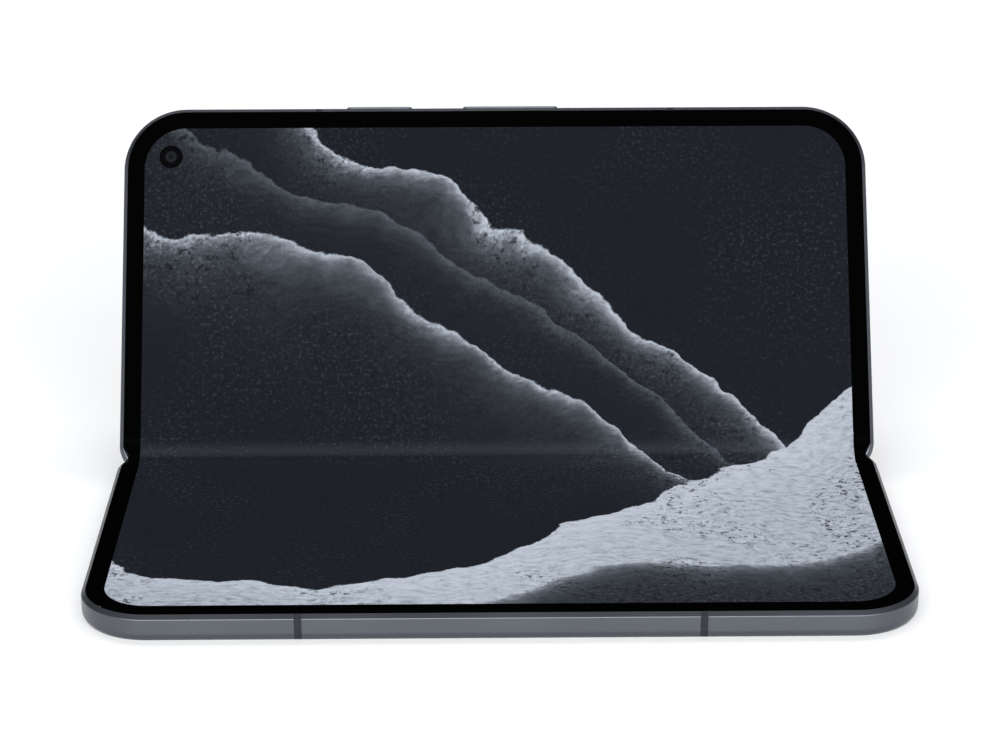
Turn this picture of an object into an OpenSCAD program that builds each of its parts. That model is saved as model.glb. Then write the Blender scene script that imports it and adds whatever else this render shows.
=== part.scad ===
// Folding phone with two halves, a geared two-axis hinge and one flexible inner screen.
// It stands in its half-open pose: the lower half lies flat, the upper half leans back.
// Millimetres, +Z up, X along the hinge. The origin is the middle of the lower half's back.

/* [Body] */
// Width of the body, along the hinge
body_w = 155.2; // [140:0.1:172]
// Depth of each half, from the fold line to its outer edge
half_d = 75.1; // [72:0.1:84]
// Thickness of each half
body_t = 5.1; // [5.1:0.1:6.5]
// Radius of the four outer corners
corner_r = 13; // [9:0.5:16]
// Width of the frame's lip round the screen
lip_w = 0.8; // [0.7:0.05:1.2]
// How far the lip falls away to the outer edge
lip_drop = 0.45; // [0.2:0.05:0.8]
// Thickness of the frame's side wall
wall_t = 2.2; // [2:0.1:2.6]
// Thickness of the frame's web behind the screen
web_t = 0.4; // [0.3:0.05:0.45]
// Height of the bevel round the back edge
back_bevel = 1.1; // [0.6:0.1:1.6]
// Thickness of the back glass and of the cover glass
glass_t = 0.7; // [0.5:0.05:0.8]
// Width of the frame's rim round the back glass
back_rim = 1.2; // [1:0.1:1.5]
// Width of the bare metal strip between the hinge and the back glass
back_strip = 7; // [7:0.25:9]

/* [Screen] */
// Thickness of the flexible screen
screen_t = 0.5; // [0.4:0.05:0.6]
// Thickness of the plate glued under the screen
plate_t = 0.3; // [0.2:0.05:0.4]
// Width of the black bezel round the picture
bezel_w = 3.55; // [2.9:0.05:4.2]
// Height of the bezel above the screen
bezel_h = 0.12; // [0.05:0.01:0.15]
// Radius of the picture's corners
picture_r = 8.65; // [6:0.05:10]
// Diameter of the camera hole in the screen
eye_d = 4.9; // [4:0.1:5.5]
// From the side of the phone to the centre of the camera hole
eye_from_side = 9.8; // [9:0.1:12]
// From the outer edge of the upper half to the centre of the camera hole
eye_from_edge = 10.4; // [9.5:0.1:12]

/* [Hinge] */
// Angle that each half has turned from lying flat
fold_angle = 29.5; // [0:0.5:90]
// Depth of the two hinge axes below the screen
axis_depth = 1.45; // [1.4:0.01:1.5]
// Gap between the two screen faces when the phone is shut
shut_gap = 0.4; // [0.35:0.01:0.5]
// Length of screen on each side of the fold that bends
bend_len = 5.5; // [5.4:0.1:6]
// Radius of the hinge shafts
shaft_r = 0.38; // [0.3:0.01:0.42]
// Radius of the hubs and knuckles round the shafts
hub_r = 0.85; // [0.75:0.01:0.85]
// Thickness of the frame's thin lip over the spine
hinge_lip_t = 0.5; // [0.4:0.05:0.6]
// Thickness of the spine's shell
spine_t = 0.4; // [0.3:0.05:0.5]
// Distance of each hinge unit's centre from the middle of the phone
unit_x = 52; // [40:1:58]
// Width of one hinge arm
arm_w = 4.4; // [3:0.1:5]
// Length of one bracket knuckle
knuckle_w = 3.5; // [2.5:0.1:4]
// Length of one stack of friction washers
washer_w = 2.3; // [1.5:0.1:3]
// Module of the timing gears
gear_module = 0.14; // [0.13:0.005:0.14]
// Face width of the timing gears
gear_w = 1.6; // [1:0.1:2.4]

/* [Keys and slots] */
// Length of the power key
power_len = 13.7; // [11:0.1:15]
// Middle of the power key, along the hinge direction
power_x = -24.3; // [-28:0.1:-22]
// Length of the volume key
volume_len = 19.9; // [16:0.1:22]
// Middle of the volume key, along the hinge direction
volume_x = 3.2; // [2:0.1:8]
// Height of both keys across the edge
key_h = 2; // [1.6:0.1:2.1]
// How far the keys stand out of the edge
key_out = 0.6; // [0.3:0.05:0.8]
// Travel of the power key
key_travel = 0.25; // [0.15:0.05:0.3]
// Distance of the antenna breaks from the middle
break_x = 36.5; // [34:0.5:42]
// Width of an antenna break
break_w = 1.4; // [1:0.1:2]
// Outer width of the charging socket
usb_w = 8.9; // [8.9:0.1:9.2]
// Outer height of the charging socket
usb_h = 3.1; // [3:0.05:3.15]
// Length of the charging socket
usb_len = 7; // [6:0.1:8]
// Width of the card tray's face
tray_w = 13.5; // [13:0.1:15]
// Height of the card tray's face
tray_h = 1.9; // [1.7:0.1:2.1]
// Length of the card tray
tray_len = 19; // [18:0.5:21]

/* [Cameras] */
// Length of the rear camera island, across the hinge direction
island_len = 46; // [44:0.5:50]
// Width of the rear camera island
island_w = 21; // [20:0.5:23]
// Height of the rear camera island
island_h = 1.3; // [1:0.1:2]
// Spacing of the rear cameras
camera_pitch = 12.5; // [12:0.1:14]
// Radius of the rear lens windows
lens_r = 4; // [3.6:0.1:4.4]

/* [Inside] */
// Width left beside the lower battery for the card reader and the speaker
low_side_room = 29.6; // [28:0.1:34]
// Width left beside the upper battery for the charging socket and its board
up_side_room = 31.6; // [28:0.1:34]
// Thickness of the circuit boards
board_t = 0.7; // [0.5:0.05:0.9]
// Outer radius of the charging coil
coil_r = 22; // [18:0.5:25]
// Thickness of the cover display panel
cover_panel_t = 0.7; // [0.5:0.05:0.8]

/* [Hidden] */
$fn = 48;

// Clearances
fit_gap = 0.015;        // round pieces fixed in their seats
run_gap = 0.04;         // round pieces that turn
side_gap = 0.1;         // flat pieces that pass each other
seam = 0.05;            // screens and glasses in their recesses
fold_gap = 0.05;        // from the fold line to each half's edge
cut = 1;                // how far a cutting shape runs past the metal

// Levels below the screen face, as positive depths
plate_z = screen_t + plate_t;
web_z = plate_z + web_t;
glass_z = body_t - glass_t;
hinge_floor = body_t - hinge_lip_t;
side_x = body_w / 2;

// Hinge geometry, in the flat phone's cross-section
axis_y = axis_depth + shut_gap / 2;
spine_floor = hinge_floor - side_gap;
spine_r = hinge_floor - axis_depth - 0.08;
corner_sweep_r = axis_y - fold_gap;
spine_side_z = axis_y + axis_depth - side_gap;
notch_in = 1.05;        // how much thicker the frame's ends are at the fold
spine_half = side_x - lip_w - notch_in - 0.15;
cavity_s = bend_len + side_gap;
rib_s = back_strip - side_gap;
arm_low = spine_side_z - 0.15;
arm_high = axis_depth + 0.3;
wing_end = back_strip + 5.4;
spine_inner_z = spine_floor - spine_t;
flange_t = 0.7;
flange_z = spine_inner_z - flange_t;
base_half = axis_y + 0.2;
block_half = axis_y + hub_r;
block_top = axis_depth - hub_r + 0.05;

// One hinge unit, measured from its outer arm
pocket_w = gear_w + 2 * 0.7;
block_x0 = arm_w + side_gap;
pocket_x0 = block_x0 + knuckle_w;
block_x1 = pocket_x0 + pocket_w + knuckle_w;
washer_x0 = block_x1 + side_gap;
arm2_x0 = washer_x0 + washer_w + side_gap;
unit_len = arm2_x0 + arm_w;
screw_inset = 2.2;
wing_screw_r = 0.5;
wing_head_r = 1;
head_t = 0.35;
spine_screw_r = 0.4;

// Timing gears: four equal wheels in a row from axis to axis
gear_teeth = 10;
pitch_r = gear_module * gear_teeth / 2;
pressure = 20;
base_r = pitch_r * cos(pressure);
tip_r = pitch_r + 0.8 * gear_module;
root_r = pitch_r - 1.2 * gear_module;
gear_play = 0.03;
idler_pin_r = 0.25;
idler_y = pitch_r;
idler_drop = sqrt(pow(2 * pitch_r, 2) - pow(axis_y - idler_y, 2));
idler_z = axis_depth + idler_drop;
mesh_angle = -atan2(idler_drop, axis_y - idler_y);
half_tooth = 180 / gear_teeth;

// Rounded inner ends of the frame, next to the fold
notch_len = 3.65;
notch_side = 1.23;
notch_turn = 2 * atan(notch_side / notch_len);
notch_r = notch_len / sin(notch_turn);

// Keys
key_z = body_t / 2;
key_flange_t = 0.4;
key_slack = 0.15;
key_flange_s = half_d - wall_t - key_slack;
switch_t = 0.3;
switch_s = key_flange_s - key_flange_t - key_travel - 0.1;

// Slots and holes in the edges
port_s = half_d / 2;
usb_z = (web_z + glass_z) / 2;
usb_wall = 0.3;
tray_z = web_z + tray_h / 2 + 0.25;
tray_body_w = tray_w - 2.2;
tray_t = 1.1;
tray_face_t = 1.3;
card_w = 8.8;
card_l = 12.3;
card_t = 0.67;
sound_hole_r = 0.45;
sound_hole_pitch = 1.7;
sound_holes = 6;
sound_s = port_s + usb_w / 2 + 6;

// Cameras
eye_x = -side_x + eye_from_side;
eye_s = half_d - eye_from_edge;
island_from_side = 20.6;
island_x = -side_x + island_from_side;
island_s = half_d - 4.2 - island_len / 2;
island_r = 9;
lens_t = 0.5;
barrel_r = lens_r - 0.6;
camera_box = 9;
flash_r = 1.5;
flash_x = island_x - island_w / 2 + 3.2;
cover_eye_from_side = 7.2;
cover_eye_x = -side_x + cover_eye_from_side;
cover_eye_r = 2.2;
cover_eye_box = 6;
inner_eye_box = 6.5;

// Inside layout, common to both halves
inside_s0 = wing_end + 1.4;
inside_s1 = switch_s - switch_t - 0.7;
part_top = web_z + 0.05;
lower_floor = glass_z - cover_panel_t - 0.05;
upper_floor = glass_z - 0.05;
flex_half_w = 7;
flex_top = axis_depth - 0.08;
flex_t = 0.15;
flex_joint_s = inside_s0 - side_gap;
tail_w = flex_joint_s - wing_end - side_gap;
coil_t = 0.35;
part_gap = 1;
edge_part_w = 7.6;
earpiece_len = 16;
earpiece_inset = 9.4;
top_speaker_len = 20;
top_speaker_inset = 21.4;
low_board_w = 25;
main_board_w = 24.5;
small_part_w = 21;
motor_len = 9;
motor_room = 2.8;
low_speaker_from_port = 13;
chip_w = 14;
chip_t = 0.9;
chip_inset = 14;
shield_from_s0 = 14;

// ---------------------------------------------------------------- placing

// Turns what follows about one hinge axis
module turn_about(y, angle) {
    translate([0, y, -axis_depth]) rotate([angle, 0, 0]) translate([0, -y, axis_depth]) children();
}

// Flat cross-section frame of the lower half: fold line at y = 0, screen face at z = 0
module on_lower() {
    translate([0, half_d / 2, body_t]) children();
}

module on_spine() {
    on_lower() turn_about(-axis_y, fold_angle) children();
}

module on_upper() {
    on_spine() turn_about(axis_y, fold_angle) children();
}

// The lower half's pieces are drawn like the upper half's, with y outward from the fold
module on_lower_half() {
    on_lower() mirror([0, 1, 0]) children();
}

module both_sides() {
    children();
    mirror([1, 0, 0]) children();
}

module both_axes() {
    children();
    mirror([0, 1, 0]) children();
}

// ---------------------------------------------------------------- plain shapes

// Box from its lowest and highest corners
module block(low, high) {
    translate(low) cube(high - low);
}

// Round bar along X
module bar_x(x0, x1, y, z, r) {
    translate([x0, y, z]) rotate([0, 90, 0]) cylinder(r = r, h = x1 - x0);
}

// Outline (y, z) drawn out along X
module drawn_x(x0, x1, points) {
    translate([x0, 0, 0]) rotate([90, 0, 90]) linear_extrude(height = x1 - x0) polygon(points);
}

// Slot-shaped bar along Y, long in X
module slot_bar_y(x, z, len, high, s0, s1) {
    r = high / 2;
    block([x - len / 2 + r, s0, z - r], [x + len / 2 - r, s1, z + r]);
    for (end = [-1, 1])
        translate([x + end * (len / 2 - r), s0, z]) rotate([-90, 0, 0]) cylinder(r = r, h = s1 - s0);
}

// Slot-shaped bar along X, long in Y
module slot_bar_x(s, z, len, high, x0, x1) {
    r = high / 2;
    block([x0, s - len / 2 + r, z - r], [x1, s + len / 2 - r, z + r]);
    for (end = [-1, 1])
        bar_x(x0, x1, s + end * (len / 2 - r), z, r);
}

// Flat plate of one half, round at its two outer corners
module half_plate(inset, s0, z0, z1, r) {
    half = side_x - inset;
    s1 = half_d - inset;
    translate([0, 0, z0]) linear_extrude(height = z1 - z0) {
        translate([-half + r, s0]) square([2 * (half - r), s1 - s0]);
        translate([-half, s0]) square([2 * half, s1 - r - s0]);
        for (side = [-1, 1]) translate([side * (half - r), s1 - r]) circle(r = r);
    }
}

// Plate with four round corners
module round_plate(x, s, w, len, r, z0, z1) {
    translate([x, s, z0]) linear_extrude(height = z1 - z0) {
        square([w - 2 * r, len], center = true);
        square([w, len - 2 * r], center = true);
        for (i = [-1, 1], j = [-1, 1]) translate([i * (w / 2 - r), j * (len / 2 - r)]) circle(r = r);
    }
}

// ---------------------------------------------------------------- frame

// Edge section of a half: distance outward from a line depth inside the edge, and height
function edge_section(depth) = [
    [0, 0], [depth - lip_w, 0], [depth - 0.12, -lip_drop], [depth, -lip_drop - 0.2],
    [depth, -body_t + back_bevel], [depth - 0.22, -body_t + 0.4 * back_bevel],
    [depth - 0.75, -body_t], [0, -body_t]];

// Solid outer shape of one half
module half_envelope() {
    far = half_d - corner_r;
    near = fold_gap + notch_len;
    core_x = side_x - corner_r / 2;
    near_core_x = side_x - notch_r * 2 / 3;
    intersection() {
        union() {
            // The core reaches into every edge piece, so that they are one at any size
            block([-core_x, near, -body_t], [core_x, far + corner_r / 2, 0]);
            block([-near_core_x, fold_gap, -body_t], [near_core_x, near + corner_r / 2, 0]);
            drawn_x(-side_x + corner_r, side_x - corner_r, [for (p = edge_section(corner_r)) p + [far, 0]]);
            both_sides() {
                translate([side_x - corner_r, far, 0]) rotate_extrude(angle = 90)
                    polygon(edge_section(corner_r));
                translate([side_x - corner_r, far, 0]) rotate([90, 0, 0])
                    linear_extrude(height = far - near) polygon(edge_section(corner_r));
                translate([side_x - notch_r, near, 0]) rotate([0, 0, -90]) rotate_extrude(angle = 90)
                    polygon(edge_section(notch_r));
            }
        }
        block([-body_w, fold_gap, -2 * body_t], [body_w, body_w, body_t]);
    }
}

// Room for the spine: open at the fold and at the screen side
module hinge_cavity() {
    end_x = side_x - lip_w;
    both_sides() translate([0, 0, -hinge_floor]) linear_extrude(height = body_t)
        polygon([[-cut, -cut], [end_x - notch_in, -cut], [end_x - notch_in, fold_gap + 0.85],
            [end_x, fold_gap + 0.85 + 2.3], [end_x, cavity_s], [-cut, cavity_s]]);
}

// What is cut from the ends of the frame at the fold, so that they roll past each other
module fold_relief() {
    difference() {
        block([-body_w, -cut, -axis_depth], [body_w, axis_y, cut]);
        bar_x(-body_w - cut, body_w + cut, axis_y, -axis_depth, corner_sweep_r);
    }
}

// Slots in the frame's rib where the arms and the flex cable pass
module rib_slots() {
    both_sides() for (x = [0, arm2_x0])
        block([unit_start() + x - side_gap, cavity_s - cut, -arm_low - side_gap],
            [unit_start() + x + arm_w + side_gap, rib_s + cut, -web_z]);
    block([-flex_half_w - side_gap, cavity_s - cut, -web_z - 0.6],
        [flex_half_w + side_gap, rib_s + cut, -web_z]);
}

function unit_start() = unit_x - unit_len / 2;

// Where the wing screws stand, on the right-hand side
function wing_screw_places() = [for (x = [screw_inset, unit_len - screw_inset])
    [unit_start() + x, (back_strip + wing_end) / 2]];

// Metal frame shared by both halves
module half_frame() {
    difference() {
        half_envelope();
        hinge_cavity();
        fold_relief();
        half_plate(lip_w, cavity_s - seam, -plate_z, cut, corner_r - lip_w);
        half_plate(wall_t, rib_s, -glass_z - cut / 2, -web_z, corner_r - wall_t);
        half_plate(back_rim, back_strip - seam, -body_t - cut, -glass_z, corner_r - back_rim);
        rib_slots();
        both_sides() for (p = wing_screw_places())
            translate([p.x, p.y, -web_z - cut]) cylinder(r = wing_screw_r + seam, h = 2 * cut);
        antenna_slots();
    }
}

module antenna_slots() {
    for (side = [-1, 1])
        block([side * break_x - break_w / 2, half_d - lip_w + 0.2, -body_t - cut],
            [side * break_x + break_w / 2, half_d + cut, cut]);
}

module antenna_breaks() {
    intersection() {
        drawn_x(-side_x + corner_r, side_x - corner_r,
            [for (p = edge_section(wall_t)) p + [half_d - wall_t, 0]]);
        antenna_slots();
    }
}

module lower_frame() {
    color("#666a70") on_lower_half() difference() {
        half_frame();
        slot_bar_x(port_s, -tray_z, tray_w + 2 * seam, tray_h + 2 * seam, side_x - wall_t - cut, side_x + cut);
    }
}

module upper_frame() {
    color("#666a70") on_upper() difference() {
        half_frame();
        slot_bar_x(port_s, -usb_z, usb_w + 2 * seam, usb_h + 2 * seam, side_x - wall_t - cut, side_x + cut);
        key_pocket(power_x, power_len);
        key_pocket(volume_x, volume_len);
        for (i = [0 : sound_holes - 1])
            bar_x(side_x - wall_t - cut, side_x + cut, sound_s + i * sound_hole_pitch, -usb_z, sound_hole_r);
        translate([eye_x, eye_s, -web_z - cut]) cylinder(r = eye_d / 2, h = 3 * cut);
    }
}

module key_pocket(x, len) {
    slot_bar_y(x, -key_z, len + 2 * side_gap, key_h + 2 * side_gap, half_d - wall_t - cut, half_d + cut);
}

module lower_antenna_breaks() {
    color("#3f4246") on_lower_half() antenna_breaks();
}

module upper_antenna_breaks() {
    color("#3f4246") on_upper() antenna_breaks();
}

// ---------------------------------------------------------------- screens and glasses

module screen_panel() {
    half_plate(lip_w + seam, bend_len, -screen_t, 0, corner_r - lip_w - seam);
}

module support_plate() {
    half_plate(lip_w + seam, cavity_s, -plate_z, -screen_t, corner_r - lip_w - seam);
}

module screen_bezel() {
    picture = lip_w + bezel_w;
    difference() {
        half_plate(lip_w + 2 * seam, bend_len + seam, 0, bezel_h, corner_r - lip_w - 2 * seam);
        half_plate(picture, 0, -cut, cut, picture_r);
    }
}

module eye_hole(r) {
    translate([eye_x, eye_s, -body_t]) cylinder(r = r, h = 2 * body_t);
}

module inner_display_lower() {
    color("#1e2128") on_lower_half() screen_panel();
}

module inner_display_upper() {
    color("#1e2128") on_upper() difference() {
        screen_panel();
        eye_hole(eye_d / 2);
    }
}

module lower_support_plate() {
    color("#2a2a2c") on_lower_half() support_plate();
}

module upper_support_plate() {
    color("#2a2a2c") on_upper() difference() {
        support_plate();
        eye_hole(eye_d / 2);
    }
}

module lower_screen_bezel() {
    color("#050505") on_lower_half() screen_bezel();
}

module upper_screen_bezel() {
    color("#050505") on_upper() screen_bezel();
}

module back_panel() {
    half_plate(back_rim + seam, back_strip, -body_t, -glass_z, corner_r - back_rim - seam);
}

module cover_glass() {
    color("#0c0d0f") on_lower_half() back_panel();
}

module back_glass() {
    color("#5d6166") on_upper() difference() {
        back_panel();
        for (i = [-1 : 1]) camera_bore(i, barrel_r + side_gap, glass_t + 2 * cut, -body_t - cut);
    }
}

// Bore for one rear camera, starting at the height given
module camera_bore(i, r, h, z0) {
    translate([island_x, island_s + i * camera_pitch, z0]) cylinder(r = r, h = h);
}

module cover_display_panel() {
    panel_s0 = back_strip + 2;
    panel_s1 = half_d - wall_t - 0.8;
    color("#15171c") on_lower_half() difference() {
        round_plate(0, (panel_s0 + panel_s1) / 2, body_w - 2 * wall_t - 2, panel_s1 - panel_s0,
            corner_r - wall_t - 1, -glass_z, -glass_z + cover_panel_t);
        translate([cover_eye_x, port_s, -body_t]) cylinder(r = cover_eye_r + side_gap, h = body_t);
    }
}

// ---------------------------------------------------------------- folding part of the screen

function smooth(t) = t * t * (3 - 2 * t);

// Point (y, z) of the flat section, turned about a hinge axis
function turned(p, axis, angle) = let (d = p - axis)
    axis + [d.x * cos(angle) - d.y * sin(angle), d.x * sin(angle) + d.y * cos(angle)];

// One side of the fold, from the fold line (bend 0) to where the screen is flat (bend 1)
bend_steps = 10;
function strip_edge(z) = [for (i = [0 : bend_steps])
    let (y = bend_len * i / bend_steps)
    turned([y, z], [axis_y, -axis_depth], fold_angle * smooth(i / bend_steps))];
function strip_section(top, thick) = concat(strip_edge(-top),
    [for (i = [bend_steps : -1 : 0]) strip_edge(-top - thick)[i]]);

// Drawn in the spine's frame: the spine holds the fold line still
module fold_strip(half_w, top, thick) {
    drawn_x(-half_w, half_w, strip_section(top, thick));
}

module display_fold_upper() {
    color("#1e2128") on_spine() fold_strip(spine_half, 0, screen_t);
}

module display_fold_lower() {
    color("#1e2128") on_spine() mirror([0, 1, 0]) fold_strip(spine_half, 0, screen_t);
}

module hinge_flex_upper() {
    color("#b07a2a") on_spine() fold_strip(flex_half_w, flex_top, flex_t);
}

module hinge_flex_lower() {
    color("#b07a2a") on_spine() mirror([0, 1, 0]) fold_strip(flex_half_w, flex_top, flex_t);
}

// ---------------------------------------------------------------- hinge

// Wing of one half: a plate screwed to the frame's web, with two arms to the shaft
module hinge_wing() {
    x0 = unit_start();
    difference() {
        union() {
            block([x0, back_strip, -arm_low], [x0 + unit_len, wing_end, -web_z]);
            for (x = [x0, x0 + arm2_x0]) {
                bar_x(x, x + arm_w, axis_y, -axis_depth, hub_r);
                block([x, axis_y, -arm_low], [x + arm_w, back_strip + seam, -arm_high]);
            }
        }
        bar_x(x0 - cut, x0 + unit_len + cut, axis_y, -axis_depth, shaft_r + fit_gap);
        for (p = wing_screw_places())
            translate([p.x, p.y, -body_t]) cylinder(r = wing_screw_r + seam, h = body_t);
    }
}

module hinge_shaft() {
    x0 = unit_start();
    bar_x(x0 - 0.3, x0 + unit_len + 0.3, axis_y, -axis_depth, shaft_r);
}

module wing_screw() {
    for (p = wing_screw_places()) translate([p.x, p.y, 0]) difference() {
        union() {
            translate([0, 0, -arm_low - head_t]) cylinder(r = wing_head_r, h = head_t);
            translate([0, 0, -arm_low]) cylinder(r = wing_screw_r, h = arm_low - plate_z - 0.1);
        }
        for (turn = [0, 90]) translate([0, 0, -arm_low - head_t]) rotate([0, 0, turn])
            cube([wing_head_r * 1.2, 0.3, head_t], center = true);
    }
}

module lower_hinge_wings() {
    color("#8b8f94") on_lower_half() both_sides() hinge_wing();
}

module upper_hinge_wings() {
    color("#8b8f94") on_upper() both_sides() hinge_wing();
}

module lower_hinge_shafts() {
    color("#c9ccd0") on_lower_half() both_sides() hinge_shaft();
}

module upper_hinge_shafts() {
    color("#c9ccd0") on_upper() both_sides() hinge_shaft();
}

module lower_wing_screws() {
    color("#3a3b3d") on_lower_half() both_sides() wing_screw();
}

module upper_wing_screws() {
    color("#3a3b3d") on_upper() both_sides() wing_screw();
}

// Roll angle of the involute at a radius, in degrees
function involute(r) = r <= base_r ? 0 :
    let (t = sqrt(pow(r / base_r, 2) - 1)) t * 180 / PI - atan(t);
function tooth_half_angle(r) = half_tooth / 2 - gear_play / 4 / pitch_r * 180 / PI
    + involute(pitch_r) - involute(r);
function gear_outline(phase) = [for (i = [0 : gear_teeth - 1])
    let (mid = phase + i * 2 * half_tooth, radii = [root_r, base_r, pitch_r, tip_r])
    each concat([for (r = radii) r * dir(mid - tooth_half_angle(r))],
        [for (i = [3 : -1 : 0]) radii[i] * dir(mid + tooth_half_angle(radii[i]))])];
function dir(a) = [cos(a), sin(a)];

// Gear with its axis along X; the phase is the angle of one tooth
module timing_gear(y, z, phase, bore_r) {
    x0 = unit_start() + pocket_x0 + (pocket_w - gear_w) / 2;
    translate([0, y, z]) difference() {
        drawn_x(x0, x0 + gear_w, gear_outline(phase));
        bar_x(x0 - cut, x0 + gear_w + cut, 0, 0, bore_r);
    }
}

// Phases that keep the four gears in mesh at every fold angle
idler_low_phase = 2 * mesh_angle + 180 + half_tooth;
idler_up_phase = -2 * mesh_angle;
upper_gear_phase = 180 + half_tooth;

module lower_timing_gears() {
    color("#b08d57") on_lower() both_sides()
        timing_gear(-axis_y, -axis_depth, 0, shaft_r + fit_gap);
}

module upper_timing_gears() {
    color("#b08d57") on_upper() both_sides()
        timing_gear(axis_y, -axis_depth, upper_gear_phase, shaft_r + fit_gap);
}

module idler_gears_lower() {
    color("#c79b5c") on_spine() both_sides()
        timing_gear(-idler_y, -idler_z, idler_low_phase + fold_angle, idler_pin_r + run_gap);
}

module idler_gears_upper() {
    color("#c79b5c") on_spine() both_sides()
        timing_gear(idler_y, -idler_z, idler_up_phase - fold_angle, idler_pin_r + run_gap);
}

// Bracket: a flange on the spine's floor, two knuckles and the two fixed idler pins
module hinge_bracket() {
    x0 = unit_start();
    difference() {
        union() {
            block([x0, -base_half, -spine_inner_z], [x0 + unit_len, base_half, -flange_z]);
            for (x = [block_x0, pocket_x0 + pocket_w])
                block([x0 + x, -block_half, -flange_z], [x0 + x + knuckle_w, block_half, -block_top]);
            for (side = [-1, 1])
                bar_x(x0 + block_x0 + cut, x0 + block_x1 - cut, side * idler_y, -idler_z, idler_pin_r);
        }
        both_axes() bar_x(x0, x0 + unit_len, axis_y, -axis_depth, shaft_r + run_gap);
        for (x = [screw_inset, unit_len - screw_inset])
            translate([x0 + x, 0, -body_t]) cylinder(r = spine_screw_r + seam, h = body_t);
    }
}

module hinge_brackets() {
    color("#7d8085") on_spine() both_sides() hinge_bracket();
}

module friction_washers() {
    x0 = unit_start() + washer_x0;
    color("#a9adb2") on_spine() both_sides() both_axes() difference() {
        bar_x(x0, x0 + washer_w, axis_y, -axis_depth, hub_r - seam);
        bar_x(x0 - cut, x0 + washer_w + cut, axis_y, -axis_depth, shaft_r + run_gap);
    }
}

module spine_screws() {
    color("#3a3b3d") on_spine() both_sides() for (x = [screw_inset, unit_len - screw_inset])
        translate([unit_start() + x, 0, 0]) difference() {
            union() {
                translate([0, 0, -flange_z]) cylinder(r = 2 * spine_screw_r, h = head_t);
                translate([0, 0, -spine_inner_z - spine_t / 2])
                    cylinder(r = spine_screw_r, h = flange_t + spine_t / 2);
            }
            translate([0, 0, -flange_z + head_t]) cube([spine_screw_r * 2.4, 0.25, head_t], center = true);
        }
}

// Section of the spine shell: two round corners about the hinge axes and a flat floor
module spine_section(r, floor_z, x_half, top_z) {
    intersection() {
        union() {
            for (side = [-1, 1]) bar_x(-x_half, x_half, side * axis_y, -axis_depth, r);
            block([-x_half, -axis_y, -axis_depth - r], [x_half, axis_y, 0]);
        }
        block([-x_half, -2 * body_t, -floor_z], [x_half, 2 * body_t, -top_z]);
    }
}

module spine_cover() {
    color("#5b5f65") on_spine() difference() {
        spine_section(spine_r, spine_floor, spine_half, spine_side_z);
        spine_section(spine_r - spine_t, spine_inner_z, spine_half - 0.6, spine_side_z - cut);
        both_sides() for (x = [screw_inset, unit_len - screw_inset])
            translate([unit_start() + x, 0, -spine_inner_z - spine_t / 2 - seam])
                cylinder(r = spine_screw_r + seam, h = spine_t);
    }
}

// Filler at each end of the spine, under the end of the fold
module hinge_end_caps() {
    color("#232427") on_spine() both_sides() {
        block([spine_half - 3, -base_half, -spine_inner_z], [spine_half - 0.6, base_half, -flange_z]);
        block([spine_half - 3, -block_half, -flange_z], [spine_half - 0.6, block_half, -block_top]);
    }
}

// ---------------------------------------------------------------- lower half, inside

low_board_x0 = -side_x + wall_t + 0.8 + edge_part_w + part_gap;
low_board_x1 = low_board_x0 + low_board_w;
low_battery_x = low_board_x1 + part_gap;
small_part_x0 = side_x - small_part_w;
speaker_s1 = half_d - corner_r + 2.5;

module battery_lower() {
    color("#2c2e33") on_lower_half() block([low_battery_x, inside_s0, -lower_floor],
        [side_x - low_side_room, inside_s1, -part_top]);
}

low_chip_w = 10;

// Three chips in a row along the board
function low_chip_s(i) = (inside_s0 + inside_s1 - low_chip_w) / 2 + (i - 1) * (low_chip_w + 6);

// Board with the stiff tail that meets the flex cable at the hinge
module lower_board() {
    z0 = -part_top - board_t;
    color("#1d4a34") on_lower_half() {
        block([low_board_x0, inside_s0, z0], [low_board_x1, inside_s1, -part_top]);
        for (i = [0 : 2]) block([low_board_x0 + 3, low_chip_s(i), z0 - chip_t],
            [low_board_x1 - 6, low_chip_s(i) + low_chip_w, z0]);
        flex_tail(low_board_x1);
    }
}

// Flat flex from the hinge slot to a board at board_x
module flex_tail(board_x) {
    block([-flex_half_w, bend_len, -flex_top - flex_t], [flex_half_w, flex_joint_s, -flex_top]);
    block([board_x - 3, flex_joint_s - tail_w, -flex_top - flex_t],
        [-flex_half_w + cut, flex_joint_s, -flex_top]);
    block([board_x - 3, flex_joint_s - tail_w, -flex_top - flex_t], [board_x, inside_s0 + cut, -flex_top]);
}

module cover_camera() {
    color("#111214") on_lower_half() {
        translate([cover_eye_x, port_s, -glass_z]) cylinder(r = cover_eye_r, h = glass_z - part_top);
        block([cover_eye_x - cover_eye_box / 2, port_s - cover_eye_box / 2, -lower_floor],
            [cover_eye_x + cover_eye_box / 2, port_s + cover_eye_box / 2, -part_top]);
    }
}

module cover_earpiece() {
    s1 = inside_s1 - earpiece_inset;
    color("#2b2c2f") on_lower_half() block([-side_x + wall_t + 0.8, s1 - earpiece_len, -lower_floor],
        [low_board_x0 - part_gap, s1, -part_top]);
}

module lower_speaker() {
    color("#2b2c2f") on_lower_half()
        block([small_part_x0, port_s + low_speaker_from_port, -lower_floor],
            [side_x - wall_t - part_gap, speaker_s1, -part_top]);
}

module haptic_motor() {
    color("#b9bcc0") on_lower_half()
        block([small_part_x0, inside_s0, -lower_floor],
            [side_x - wall_t - motor_room, inside_s0 + motor_len, -part_top]);
}

tray_x0 = side_x - tray_len;

// Folded metal shell that guides the card tray
module card_reader() {
    half = tray_body_w / 2 + side_gap;
    color("#c4c7cb") on_lower_half() difference() {
        block([tray_x0 - 1.2, port_s - half - 0.4, -tray_z - tray_t / 2 - 0.5],
            [side_x - wall_t - 0.3, port_s + half + 0.4, -web_z]);
        block([tray_x0 - 0.8, port_s - half, -tray_z - tray_t / 2 - side_gap],
            [side_x, port_s + half, -tray_z + tray_t / 2 + side_gap]);
    }
}

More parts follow.
